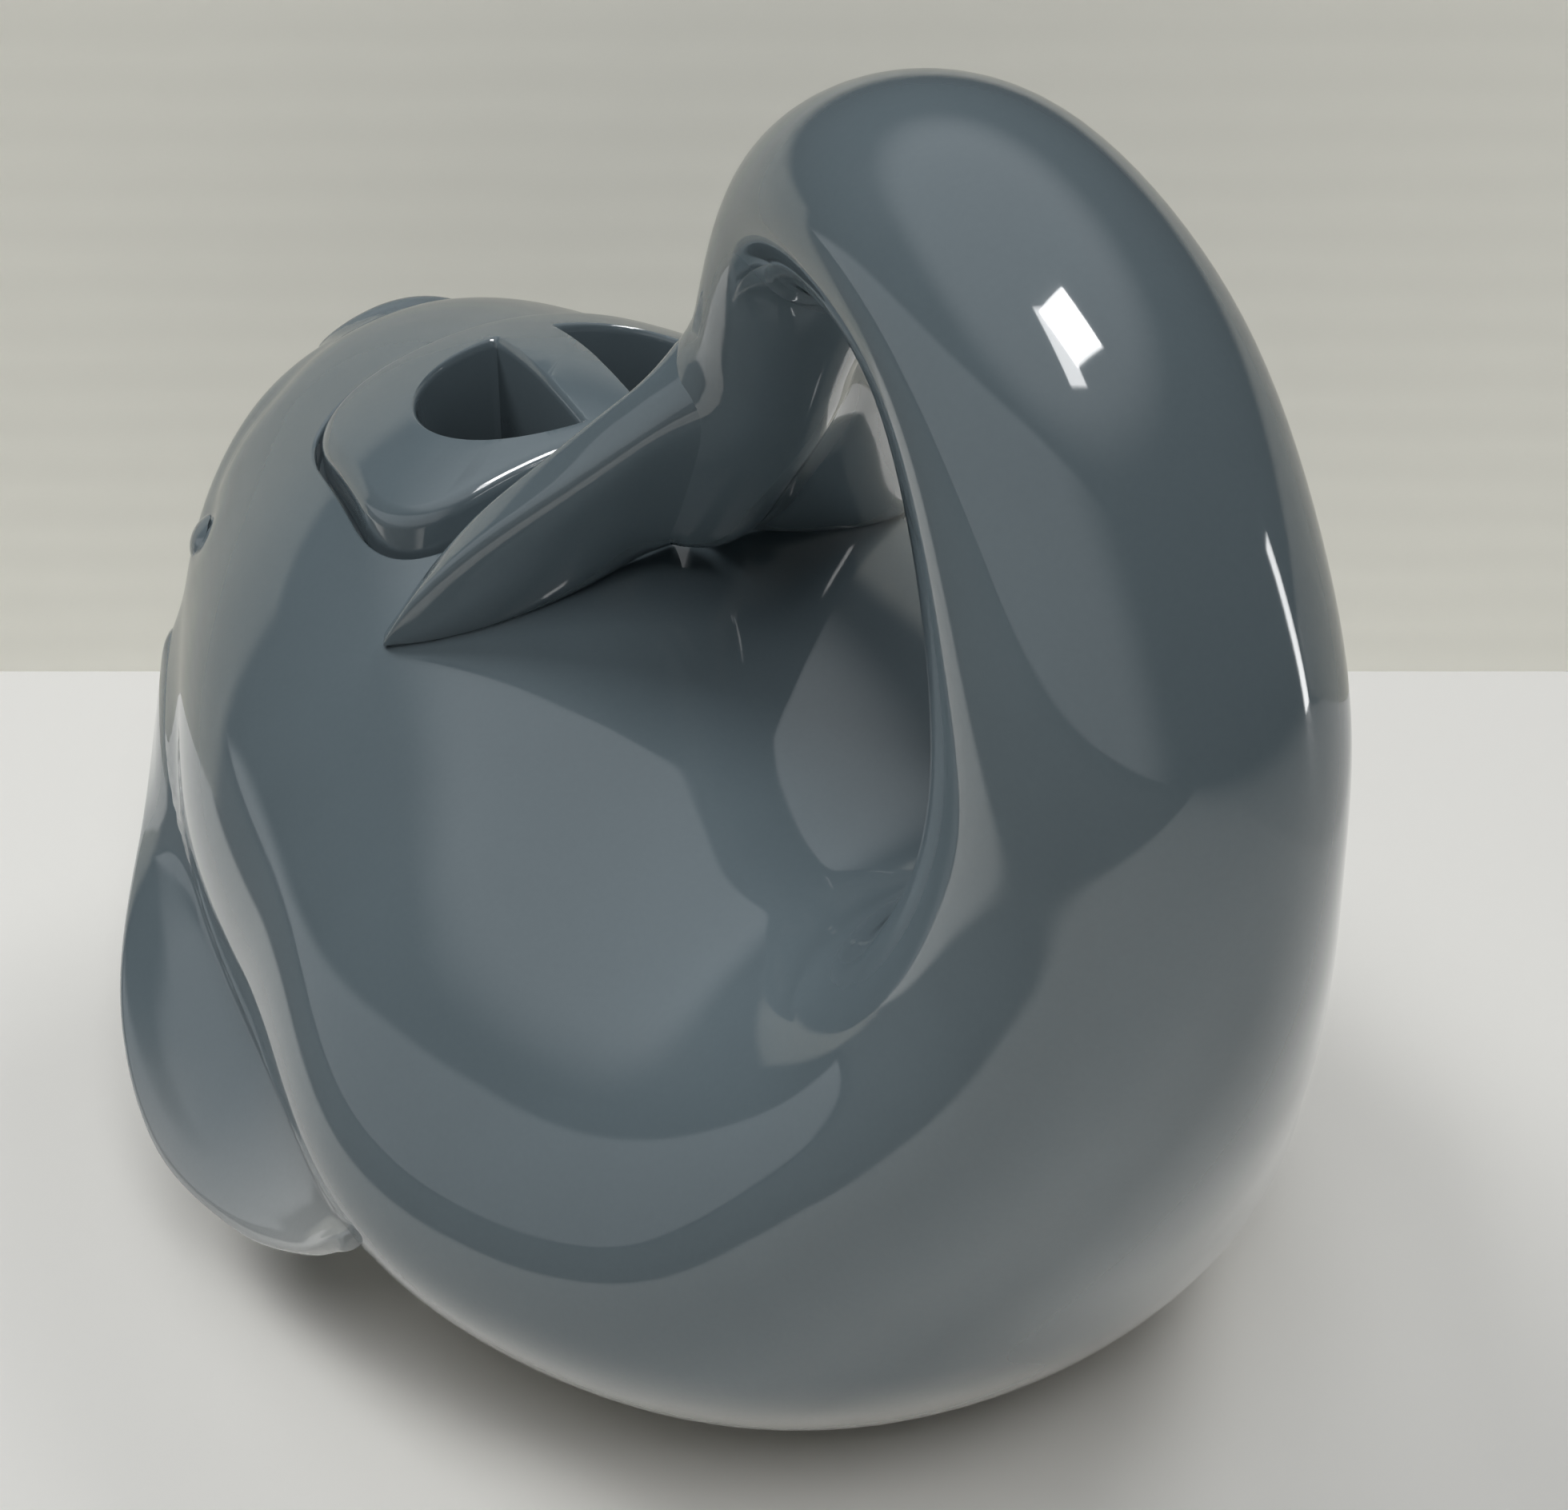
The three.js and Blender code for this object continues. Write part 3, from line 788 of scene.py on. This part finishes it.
def fill_corner(piece, name, reach, wanted=anywhere):
    """Raises a skin near another form, as the glaze does in the corner where they meet."""
    mesh = piece.data
    tree = form_tree(name)
    moves = []
    for vertex in mesh.vertices:
        if not wanted(vertex.co):
            continue
        depth = reach(vertex.co) if callable(reach) else reach
        for side in (1, -1) if name in ONE_SIDED else (1,):
            point = Vector((vertex.co.x * side, vertex.co.y, vertex.co.z))
            found, normal, _, away = tree.find_nearest(point, depth * MM)
            if found is None:
                continue
            if (point - found).dot(normal) < 0:
                away = 0
            rise = (depth * MM - away) ** 2 / (4 * depth * MM)
            moves.append((vertex.index, vertex.normal * rise))
    for index, move in moves:
        mesh.vertices[index].co += move
    mesh.update()


def fin_reach(point):
    """The flipper flows into the flank at its front, and stands off behind a crease further back."""
    y = (point.y - SHIFT) / MM
    front, rear = FIN_FILLETS
    return front + (rear - front) * eased((y + 62) / 26)


# Pieces
def press_mouth(piece):
    """A shallow crease round the snout, from eye to eye."""
    line = spline(MOUTH_LINE, [i / 6 for i in range(6 * (len(MOUTH_LINE) - 1) + 1)])
    line = np.array([place(p) for p in line])
    line = np.vstack([line, line * (-1, 1, 1)])
    mesh = piece.data
    depth = settings().body.crease
    points = np.array([v.co for v in mesh.vertices])
    normals = np.array([v.normal for v in mesh.vertices])
    near = np.where(points[:, 1] < -60 * MM + SHIFT)[0]
    away = np.sqrt(((points[near][:, None] - line[None]) ** 2).sum(2)).min(1)
    fall = np.exp(-((away / (MOUTH_SPREAD * MM)) ** 2))
    for i, share in zip(near, fall):
        mesh.vertices[i].co -= Vector(normals[i]) * depth * share
    mesh.update()


def spout_rings(shares, insets, shifts):
    """Sections of the spout, at shares of its length and with how far each is inset and moved on."""
    middle = [(0, *p) for p in SPOUT_PATH]
    path, ahead, behind = (
        spline(middle, [min(2, max(0, s * 2 + step)) for s in shares]) for step in (0, 0.01, -0.01)
    )
    halves = spline(SPOUT_HALVES, [s * 2 for s in shares])
    rings = []
    for i in range(len(shares)):
        along = Vector(ahead[i] - behind[i]).normalized()
        across = Vector((0, along.z, -along.y))
        centre = Vector(path[i]) + along * shifts[i]
        ring = []
        for angle in full_turn(SPOUT_SIDES):
            point = centre + across * (halves[i][1] - insets[i]) * sin(angle)
            point -= along * SPOUT_SLANT * (shares[i] * cos(angle)) ** 2
            ring.append(place(point + Vector(((halves[i][0] - insets[i]) * cos(angle), 0, 0))))
        rings.append(ring)
    return rings


class OBJECT_OT_teapot_body(bpy.types.Operator):
    """Model the hollow body, tail and spout as one glazed skin"""

    bl_idname = "object.teapot_body"
    bl_label = "Body, Tail and Spout"

    def execute(self, context):
        s = settings()
        pot = whale_form("pot_skin")
        Head.measure(pot)
        fill_corner(pot, "fluke", FLUKE_FILLET, in_stock)
        fill_corner(pot, "fin", fin_reach)
        fill_corner(pot, "spout", SPOUT_FILLET, near_snout)
        press_mouth(pot)
        lip = spout_form()
        subdivide(lip, 1)
        fill_corner(lip, "whale", SPOUT_FILLET)
        combine(pot, lip, "UNION")
        inside = ring_skin("inside_form", whale_rings(*HOLLOW, HOLLOW_SIDES, RINGS_PER_SECTION))
        apply_modifier(inside, "DISPLACE", strength=-s.body.wall, mid_level=0, direction="NORMAL")
        subdivide(inside, 1)
        combine(pot, inside, "DIFFERENCE")
        around, seat = s.lid.gap / MM, s.body.seat / MM
        ledge = plan_skin("ledge_form", [
            (lid_plan(around + 4), Head.skin(-2.5)),
            (lid_plan(around + 4), Head.skin(-6)),
            (lid_plan(around + 2), Head.skin(-8)),
        ])
        combine(pot, ledge, "UNION")
        recess = plan_skin("recess_form", [
            (lid_plan(around + 2.4), Head.skin(8)),
            *[(lid_plan(around + margin), Head.skin(height)) for margin, height in RECESS_LIP],
            *[(lid_plan(around + margin), Head.skin(height - seat)) for margin, height in RECESS_CORNER],
        ])
        combine(pot, recess, "DIFFERENCE")
        reach = WELL_WALL + MOUTH_CLEARANCE
        side = WELL_OUT + reach
        corners = four_corners(side, WELL_FRONT - reach, side, WELL_REAR + reach)
        mouth = rounded_plan(corners, MOUTH_CORNER, 120)
        hole = plan_skin("hole_form", [
            (inset(mouth, -1.2), Head.skin(1 - seat)),
            *[(inset(mouth, margin), Head.skin(height - seat)) for margin, height in HOLE_LIP],
            (mouth, level(70)),
        ])
        combine(pot, hole, "DIFFERENCE")
        bore = ring_skin("bore_form", spout_rings(
            [0, *TENTHS, 1, 1, 1],
            [*[SPOUT_WALL] * 12, *BORE_INSETS],
            [-6, *[0] * 11, *BORE_SHIFTS],
        ))
        combine(pot, bore, "DIFFERENCE")
        soften(pot)
        finish_piece(pot, POT, "body_glaze", glaze_of_body(), "pot_body", "tail_handle", "spout")
        return {"FINISHED"}


def well_rings():
    """The hollow of the left finger well, from its floor to above the cap."""
    floor, rim = WELL_FOOT[0][0], WELL_LIP[-1]
    return [
        lift(scaled(well_plan(floor), WELL_TAPER * 0.5), level(WELL_FLOOR)),
        *[
            lift(scaled(well_plan(margin), WELL_TAPER), level(WELL_FLOOR + rise))
            for margin, rise in WELL_FOOT
        ],
        *[lift(well_plan(margin), Head.cap(rise)) for margin, rise in WELL_LIP],
        lift(scaled(well_plan(rim[0]), 0.5), Head.cap(rim[1])),
    ]


def cup_rings():
    """The outside of the left finger well, up into the cap."""
    below, inside_cap = WELL_FLOOR - WELL_WALL, Head.cap(-LID_WALL + 1.5)
    return [
        lift(scaled(well_plan(WELL_WALL + CUP_FOOT[0][0]), WELL_TAPER * 0.5), level(below)),
        *[
            lift(scaled(well_plan(WELL_WALL + margin), WELL_TAPER), level(below + rise))
            for margin, rise in CUP_FOOT
        ],
        lift(well_plan(WELL_WALL), inside_cap),
        lift(scaled(well_plan(WELL_WALL), 0.5), inside_cap),
    ]


class OBJECT_OT_teapot_lid(bpy.types.Operator):
    """Model the lid: a rolled cap with two finger wells and a pinch bar"""

    bl_idname = "object.teapot_lid"
    bl_label = "Lid"

    def execute(self, context):
        s = settings()
        outline = lid_plan(0)
        hollow = inset(outline, CAP_HOLLOW)
        turns = [pi / 2 * i / 7 for i in range(7, -1, -1)]
        under = 0.3 - s.body.seat / MM
        cap = ring_skin("lid_skin", [
            *[
                lift(scaled(inset(outline, CAP_ROUND), share), Head.cap(0))
                for share in (0.03, 0.25, 0.5, 0.75, 0.92)
            ],
            *[
                lift(inset(outline, CAP_ROUND * (1 - cos(a))), Head.cap(-CAP_ROUND * (1 - sin(a))))
                for a in turns
            ],
            *[lift(inset(outline, margin), Head.skin(under + rise)) for margin, rise in CAP_UNDERSIDE],
            lift(hollow, Head.cap(-LID_WALL)),
            lift(scaled(hollow, 0.5), Head.cap(-LID_WALL)),
            lift(scaled(hollow, 0.03), Head.cap(-LID_WALL)),
        ])
        for rings, operation in ((cup_rings(), "UNION"), (well_rings(), "DIFFERENCE")):
            for sign in (1, -1):
                turned = [[Vector((p.x * sign, p.y, p.z)) for p in ring] for ring in rings]
                combine(cap, ring_skin("well_form", turned), operation)
        # Painted shade in the finger wells, darker towards their floors
        glaze_or_shade_share(cap, "well_shade", in_wells)
        soften(cap)
        finish_piece(
            cap, LID, "lid_glaze", glaze_of_body(), "lid_cap", "finger_well_left", "finger_well_right"
        )
        return {"FINISHED"}


def blade_rings(edge_a, edge_b, thick, count, sides, heavy, blunt, camber=0):
    """Sections of a blade between two edges.

    heavy shifts its thickness towards the second edge, blunt under 1 squares that edge off, and
    camber hollows the blade's outer face.
    """
    shares = [i / count for i in range(count + 1)]
    a_points, b_points, widths = (
        spline(points, [share * (len(points) - 1) for share in shares])
        for points in (edge_a, edge_b, [(t,) for t in thick])
    )
    rings = []
    for i, share in enumerate(shares):
        a, b = Vector(a_points[i]), Vector(b_points[i])
        low, high = max(i - 1, 0), min(i + 1, count)
        along = Vector(a_points[high] + b_points[high] - a_points[low] - b_points[low])
        chord = a - b
        face = chord.cross(along).normalized()
        hollow = camber * sin(pi * share)
        ring = []
        for angle in full_turn(sides):
            across, rise = cos(angle), sin(angle)
            power = 1 if across > 0 else blunt
            rise = abs(rise) ** power * (1 if rise > 0 else -1)
            across = abs(across) ** power * (1 if across > 0 else -1)
            thickness = widths[i][0] / 2 * rise * (1 - heavy * across)
            point = b + chord * (1 + across) / 2 + face * (thickness + hollow * (1 - across * across))
            ring.append(place(point))
        rings.append(ring)
    return rings


class OBJECT_OT_teapot_flukes(bpy.types.Operator):
    """Model the two flukes at the end of the tail"""

    bl_idname = "object.teapot_flukes"
    bl_label = "Flukes"

    def execute(self, context):
        left = fluke_form("fluke_left_skin")
        fill_corner(left, "stock", FLUKE_FILLET)
        soften(left, 60)
        finish_pair(left, "fluke", "body_glaze", glaze_of_body())
        return {"FINISHED"}


class OBJECT_OT_teapot_fins(bpy.types.Operator):
    """Model the two flippers along the flanks"""

    bl_idname = "object.teapot_fins"
    bl_label = "Flippers"

    def execute(self, context):
        left = fin_form("fin_left_skin")
        fill_corner(left, "whale", fin_reach)
        glaze_or_shade_share(left, "thin_glaze", toward_tip)
        soften(left, 60)
        g = settings().glaze
        glaze = glazed("Flipper Glaze", g.deep, g.pale, *FLIPPER_FADE)
        finish_pair(left, "fin", "body_glaze", glaze)
        return {"FINISHED"}


class OBJECT_OT_teapot_eyes(bpy.types.Operator):
    """Model the two eyes as domed beads"""

    bl_idname = "object.teapot_eyes"
    bl_label = "Eyes"

    def execute(self, context):
        facing = Vector(EYE_FACING).normalized()
        middle = place(EYE_PLACE) - facing * EYE_SUNK * MM
        deselect_all()
        bpy.ops.mesh.primitive_uv_sphere_add(
            segments=48, ring_count=32, radius=EYE_RADIUS * MM, location=middle
        )
        left = context.object
        left.name = "eye_left_bead"
        bpy.ops.object.transform_apply(location=True, rotation=True, scale=True)
        mode("EDIT")
        bpy.ops.mesh.select_all(action="SELECT")
        bpy.ops.mesh.bisect(
            plane_co=middle + facing * EYE_CUT * MM, plane_no=facing, use_fill=True, clear_inner=True
        )
        face_outwards()
        soften(left, 40)
        colour = settings().glaze.eye
        finish_pair(left, "eye", "eye_glaze", glazed("Eye Glaze", colour, colour, *NO_FADE, 0))
        return {"FINISHED"}


class OBJECT_OT_teapot_foot(bpy.types.Operator):
    """Model the unglazed foot ring, and finish the strainer inside the spout"""

    bl_idname = "object.teapot_foot"
    bl_label = "Foot and Strainer"

    def execute(self, context):
        def oval(margin, z):
            halves = [half + margin for half in FOOT_HALVES]
            return [
                place((halves[0] * cos(a), FOOT_CENTRE_Y + halves[1] * sin(a), z))
                for a in full_turn(FOOT_SIDES)
            ]

        foot = ring_skin("foot_ring_clay", [
            oval(margin, z) for margin, z in FOOT_PROFILE
        ], ends="joined")
        soften(foot, 50)
        finish_piece(foot, POT, "bare_clay", bare_clay(), "foot_ring")
        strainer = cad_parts["strainer"]
        strainer.data.materials.clear()
        g = settings().glaze
        colour = [(a * 2 + b) / 3 for a, b in zip(g.deep, g.pale)]
        inner = glazed("Inner Glaze", colour, g.pale, *NO_FADE, 0)
        strainer.data.materials.append(inner)
        return {"FINISHED"}


# Stage
CAMERA_AT = (150.4, 273.1, 254.6)
CAMERA_TO = (2.56, 22.75, 78.49)
CAMERA_LENS = 3300 * 36 / 1960
STAGE_SIZE = 6  # sides of the table and the wall, and how far the wall is from the camera, in metres
WALL_AWAY = 0.452
WALL_GLOW = 0.17  # lifts the wall to the photograph's tone for the camera alone
LEVEL_VIEW = Vector((CAMERA_TO[0] - CAMERA_AT[0], CAMERA_TO[1] - CAMERA_AT[1], 0)).normalized()
# Lamps, as place, target, width and depth in metres, and watts. The glaze mirrors the first group
# and the second group lights the pot and the table.
MIRRORED = (
    ("window", (-0.13, 0.53, 1.66), (-0.04, 0.1, 0.16), (0.42, 0.36), 9),
    ("curtain", (0.1, 0.62, 1.66), (0, 0.1, 0.16), (0.2, 0.5), 2.5),
    ("doorway", (-1.31, 0.727, 0.1), (0, 0, 0.1), (0.09, 0.8), 1.6),
)
SHED = (
    ("ceiling", (-0.07, -0.41, 1.55), (0, 0, 0.05), (0.6, 0.6), 2),
    ("behind left", (0.66, -0.79, 1.23), (0, 0, 0.05), (0.6, 0.6), 11),
    ("behind right", (-0.97, -0.35, 1.23), (0, 0, 0.05), (0.6, 0.6), 6.5),
    ("front", (0.34, 0.73, 1.39), (0, 0, 0.05), (0.8, 0.8), 10),
)
ROOM_GLOW = 0.02  # levels of the room that the glaze mirrors, and the slope of its pale wall's top
CEILING_GLOW = 0.65
PALE_WALL_GLOW = 0.5
PALE_WALL_TOP = (-0.777, -0.544, 1)
# Edges of the table's pale middle that the glaze mirrors, as direction, reach and how dark the painted
# reflection is beyond
REFLECTION_EDGE_BLUR = 0.012
REFLECTION_EDGES = (
    ((1, 0, 0), 0.205, 0.15),
    ((-1, 0, 0), 0.2, 0.9),
    ((0.62, 0.785, 0), 0.24, 0.9),
)
PANEL_LEFT = 0.35  # reach to the left and height of the wall that the glaze mirrors
PANEL_TOP = 0.2


def table_material():
    """A plain pale table; past its given edges it shows dark to glossy rays alone, a painted reflection
    of the darker room.
    """
    material, tree, shader = new_material("Table")
    where = node(tree, "ShaderNodeTexCoord", (-1500, 0)).outputs["Object"]
    cloud = noise(tree, (-1300, 300), where, 4)
    colour = settings().stage.table
    tone = mixed(tree, (-900, 300), cloud, toned(colour, 0.97), toned(colour, 1))
    beyond = 0
    for number, (direction, reach, darkness) in enumerate(REFLECTION_EDGES):
        down = -100 - 200 * number
        along = along_line(tree, (-1300, down), where, direction)
        span = reach - REFLECTION_EDGE_BLUR, reach + REFLECTION_EDGE_BLUR
        edge = ranged(tree, (-1100, down), along, span, (0, darkness), "SMOOTHSTEP")
        beyond = maths(tree, (-900, down), "MAXIMUM", beyond, edge)
    path = node(tree, "ShaderNodeLightPath", (-700, -600)).outputs
    # Painted reflection: past the edges the table is dark to glossy rays alone
    dark = maths(tree, (-300, -300), "MULTIPLY", beyond, path["Is Glossy Ray"])
    shown = mixed(tree, (-200, 100), dark, tone, (0.03, 0.03, 0.03, 1))
    feed(shader, {"Base Color": shown, "Roughness": 0.55})
    return material


def wall_material():
    """A cream wall with faint level ribs, open from behind so that it hides the pot from no side."""
    material, tree, shader = new_material("Wall")
    where = node(tree, "ShaderNodeTexCoord", (-1300, 0)).outputs["Object"]
    stretch = node(tree, "ShaderNodeMapping", (-1100, -300), {"Vector": where, "Scale": (6, 60, 6)})
    blotch = noise(tree, (-900, -300), stretch.outputs["Vector"], 3, 5)
    ribs = node(tree, "ShaderNodeTexWave", (-900, 0), {
        "Vector": where, "Scale": 34, "Distortion": 0.8, "Detail": 2,
    }, bands_direction="Y")
    both = maths(tree, (-700, 0), "MULTIPLY", ribs.outputs["Fac"], blotch)
    colour = settings().stage.wall
    tone = mixed(tree, (-400, 0), both, toned(colour, 0.98), toned(colour, 1.02))
    path = node(tree, "ShaderNodeLightPath", (-600, -1000)).outputs
    glow = maths(tree, (-400, -200), "MULTIPLY", path["Is Camera Ray"], WALL_GLOW)
    feed(shader, {
        "Base Color": tone, "Emission Color": tone, "Emission Strength": glow, "Roughness": 0.7,
    })
    # The glaze mirrors only the part of it that is low and not too far left
    axes = node(tree, "ShaderNodeSeparateXYZ", (-1100, -700), {0: where}).outputs
    top = PANEL_TOP - 0.02 - STAGE_SIZE / 2, PANEL_TOP + 0.02 - STAGE_SIZE / 2
    above = ranged(tree, (-800, -600), axes["Y"], top, shape="SMOOTHSTEP")
    side = 0.03 - PANEL_LEFT, -0.03 - PANEL_LEFT
    left = ranged(tree, (-800, -900), axes["X"], side, shape="SMOOTHSTEP")
    off = maths(tree, (-600, -700), "MAXIMUM", above, left)
    unseen = maths(tree, (-400, -700), "MULTIPLY", off, path["Is Glossy Ray"])
    behind = node(tree, "ShaderNodeNewGeometry", (-300, -300)).outputs["Backfacing"]
    clear_share = maths(tree, (-100, -500), "MAXIMUM", behind, unseen)
    clear = node(tree, "ShaderNodeBsdfTransparent", (0, -200)).outputs[0]
    mix = node(tree, "ShaderNodeMixShader", (300, 0), {0: clear_share, 1: shader.outputs[0], 2: clear})
    feed(tree.nodes["Material Output"], {"Surface": mix.outputs[0]})
    return material


def room_world(level):
    """Soft light from all round; the glaze mirrors a dim room, its ceiling and a pale left wall."""
    world = bpy.data.worlds.new("Room")
    world.use_nodes = True
    tree = world.node_tree
    soft = tree.nodes["Background"]
    feed(soft, {"Color": (0.96, 0.98, 1, 1), "Strength": level})
    where = node(tree, "ShaderNodeTexCoord", (-1400, -300)).outputs["Generated"]
    axes = node(tree, "ShaderNodeSeparateXYZ", (-1200, -300), {0: where}).outputs
    ceiling = ranged(tree, (-900, 0), axes["Z"], (0.68, 0.88), (0, CEILING_GLOW), "SMOOTHSTEP")
    slope = along_line(tree, (-1200, -600), where, PALE_WALL_TOP)
    below = ranged(tree, (-900, -400), slope, (0.03, -0.03), shape="SMOOTHSTEP")
    left = ranged(tree, (-900, -700), axes["X"], (0.2, 0.6), (0, PALE_WALL_GLOW), "SMOOTHSTEP")
    pale = maths(tree, (-600, -500), "MULTIPLY", below, left)
    glows = maths(tree, (-400, -200), "ADD", ceiling, pale)
    strength = maths(tree, (-250, -300), "ADD", glows, ROOM_GLOW)
    dim, plain = (
        node(tree, "ShaderNodeBackground", (-100, down), {"Color": colour, "Strength": glow}).outputs[0]
        for down, colour, glow in (
            (-300, (0.93, 0.97, 1, 1), strength), (-600, (0.60, 0.59, 0.55, 1), 1),
        )
    )
    path = node(tree, "ShaderNodeLightPath", (-400, 300)).outputs
    shown = soft.outputs[0]
    for across, ray, glow in ((200, "Is Glossy Ray", dim), (400, "Is Camera Ray", plain)):
        mix = node(tree, "ShaderNodeMixShader", (across, 0), {0: path[ray], 1: shown, 2: glow})
        shown = mix.outputs[0]
    feed(tree.nodes["World Output"], {"Surface": shown})
    return world


def plane(name, location, facing):
    deselect_all()
    bpy.ops.mesh.primitive_plane_add(size=STAGE_SIZE, location=location)
    made = bpy.context.object
    made.name = name
    made.rotation_mode = "QUATERNION"
    made.rotation_quaternion = Vector(facing).to_track_quat("Z", "Y")
    return made


def aimed(name, data, location, target):
    """A lamp or camera that stands at the location and faces the target."""
    made = bpy.data.objects.new(name, data)
    bpy.context.scene.collection.objects.link(made)
    made.location = location
    made.rotation_mode = "QUATERNION"
    made.rotation_quaternion = (Vector(target) - Vector(location)).to_track_quat("-Z", "Y")
    return made


def softbox(name, location, target, size, power):
    lamp = bpy.data.lights.new(name, "AREA")
    lamp.shape = "RECTANGLE"
    lamp.size, lamp.size_y = size
    lamp.energy = power
    made = aimed(name, lamp, location, target)
    made.visible_camera = False
    return made


class SCENE_OT_teapot_stage(bpy.types.Operator):
    """Set the table, the wall, the light and the camera"""

    bl_idname = "scene.teapot_stage"
    bl_label = "Stage"

    def execute(self, context):
        scene = context.scene
        table = plane("table", (0, 0, 0), (0, 0, 1))
        table.data.materials.append(table_material())
        camera_at = Vector(CAMERA_AT) * MM
        camera_to = Vector(CAMERA_TO) * MM
        foot = Vector((camera_at.x, camera_at.y, 0)) + LEVEL_VIEW * WALL_AWAY
        wall = plane("wall", foot + Vector((0, 0, STAGE_SIZE / 2)), -LEVEL_VIEW)
        wall.data.materials.append(wall_material())
        wall.visible_diffuse = False
        wall.visible_shadow = False
        lens = bpy.data.cameras.new("camera")
        lens.lens = CAMERA_LENS
        lens.sensor_width = 36
        lens.clip_start = 0.01
        scene.camera = aimed("camera", lens, camera_at, camera_to)
        scene.world = room_world(settings().stage.light)
        for lamp in MIRRORED:
            softbox(*lamp).visible_diffuse = False
        for lamp in SHED:
            softbox(*lamp).visible_glossy = False
        scene.view_settings.view_transform = "Standard"
        return {"FINISHED"}


class VIEW3D_PT_teapot(bpy.types.Panel):
    """Sizes, colours and the pieces of the teapot"""

    bl_label = "Whale Teapot"
    bl_space_type = "VIEW_3D"
    bl_region_type = "UI"
    bl_category = "Teapot"

    def draw(self, context):
        layout = self.layout
        s = settings()
        for group in (s.body, s.lid, s.glaze, s.stage):
            box = layout.box()
            for name in group.__annotations__:
                box.prop(group, name)
        for operator in OPERATORS:
            layout.operator(operator.bl_idname)


OPERATORS = (
    OBJECT_OT_teapot_body,
    OBJECT_OT_teapot_lid,
    OBJECT_OT_teapot_flukes,
    OBJECT_OT_teapot_fins,
    OBJECT_OT_teapot_eyes,
    OBJECT_OT_teapot_foot,
    SCENE_OT_teapot_stage,
)
CLASSES = (
    TeapotBodySettings, TeapotLidSettings, TeapotGlazeSettings, TeapotStageSettings, TeapotSettings,
    *OPERATORS, VIEW3D_PT_teapot,
)


def register():
    for cls in CLASSES:
        bpy.utils.register_class(cls)
    bpy.types.Scene.whale_teapot = PointerProperty(type=TeapotSettings)


def unregister():
    del bpy.types.Scene.whale_teapot
    for cls in reversed(CLASSES):
        bpy.utils.unregister_class(cls)


def main():
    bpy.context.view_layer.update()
    register()
    bpy.ops.object.teapot_body()
    bpy.ops.object.teapot_lid()
    bpy.ops.object.teapot_flukes()
    bpy.ops.object.teapot_fins()
    bpy.ops.object.teapot_eyes()
    bpy.ops.object.teapot_foot()
    bpy.ops.scene.teapot_stage()
    bpy.context.view_layer.update()


if __name__ == "__main__":
    main()
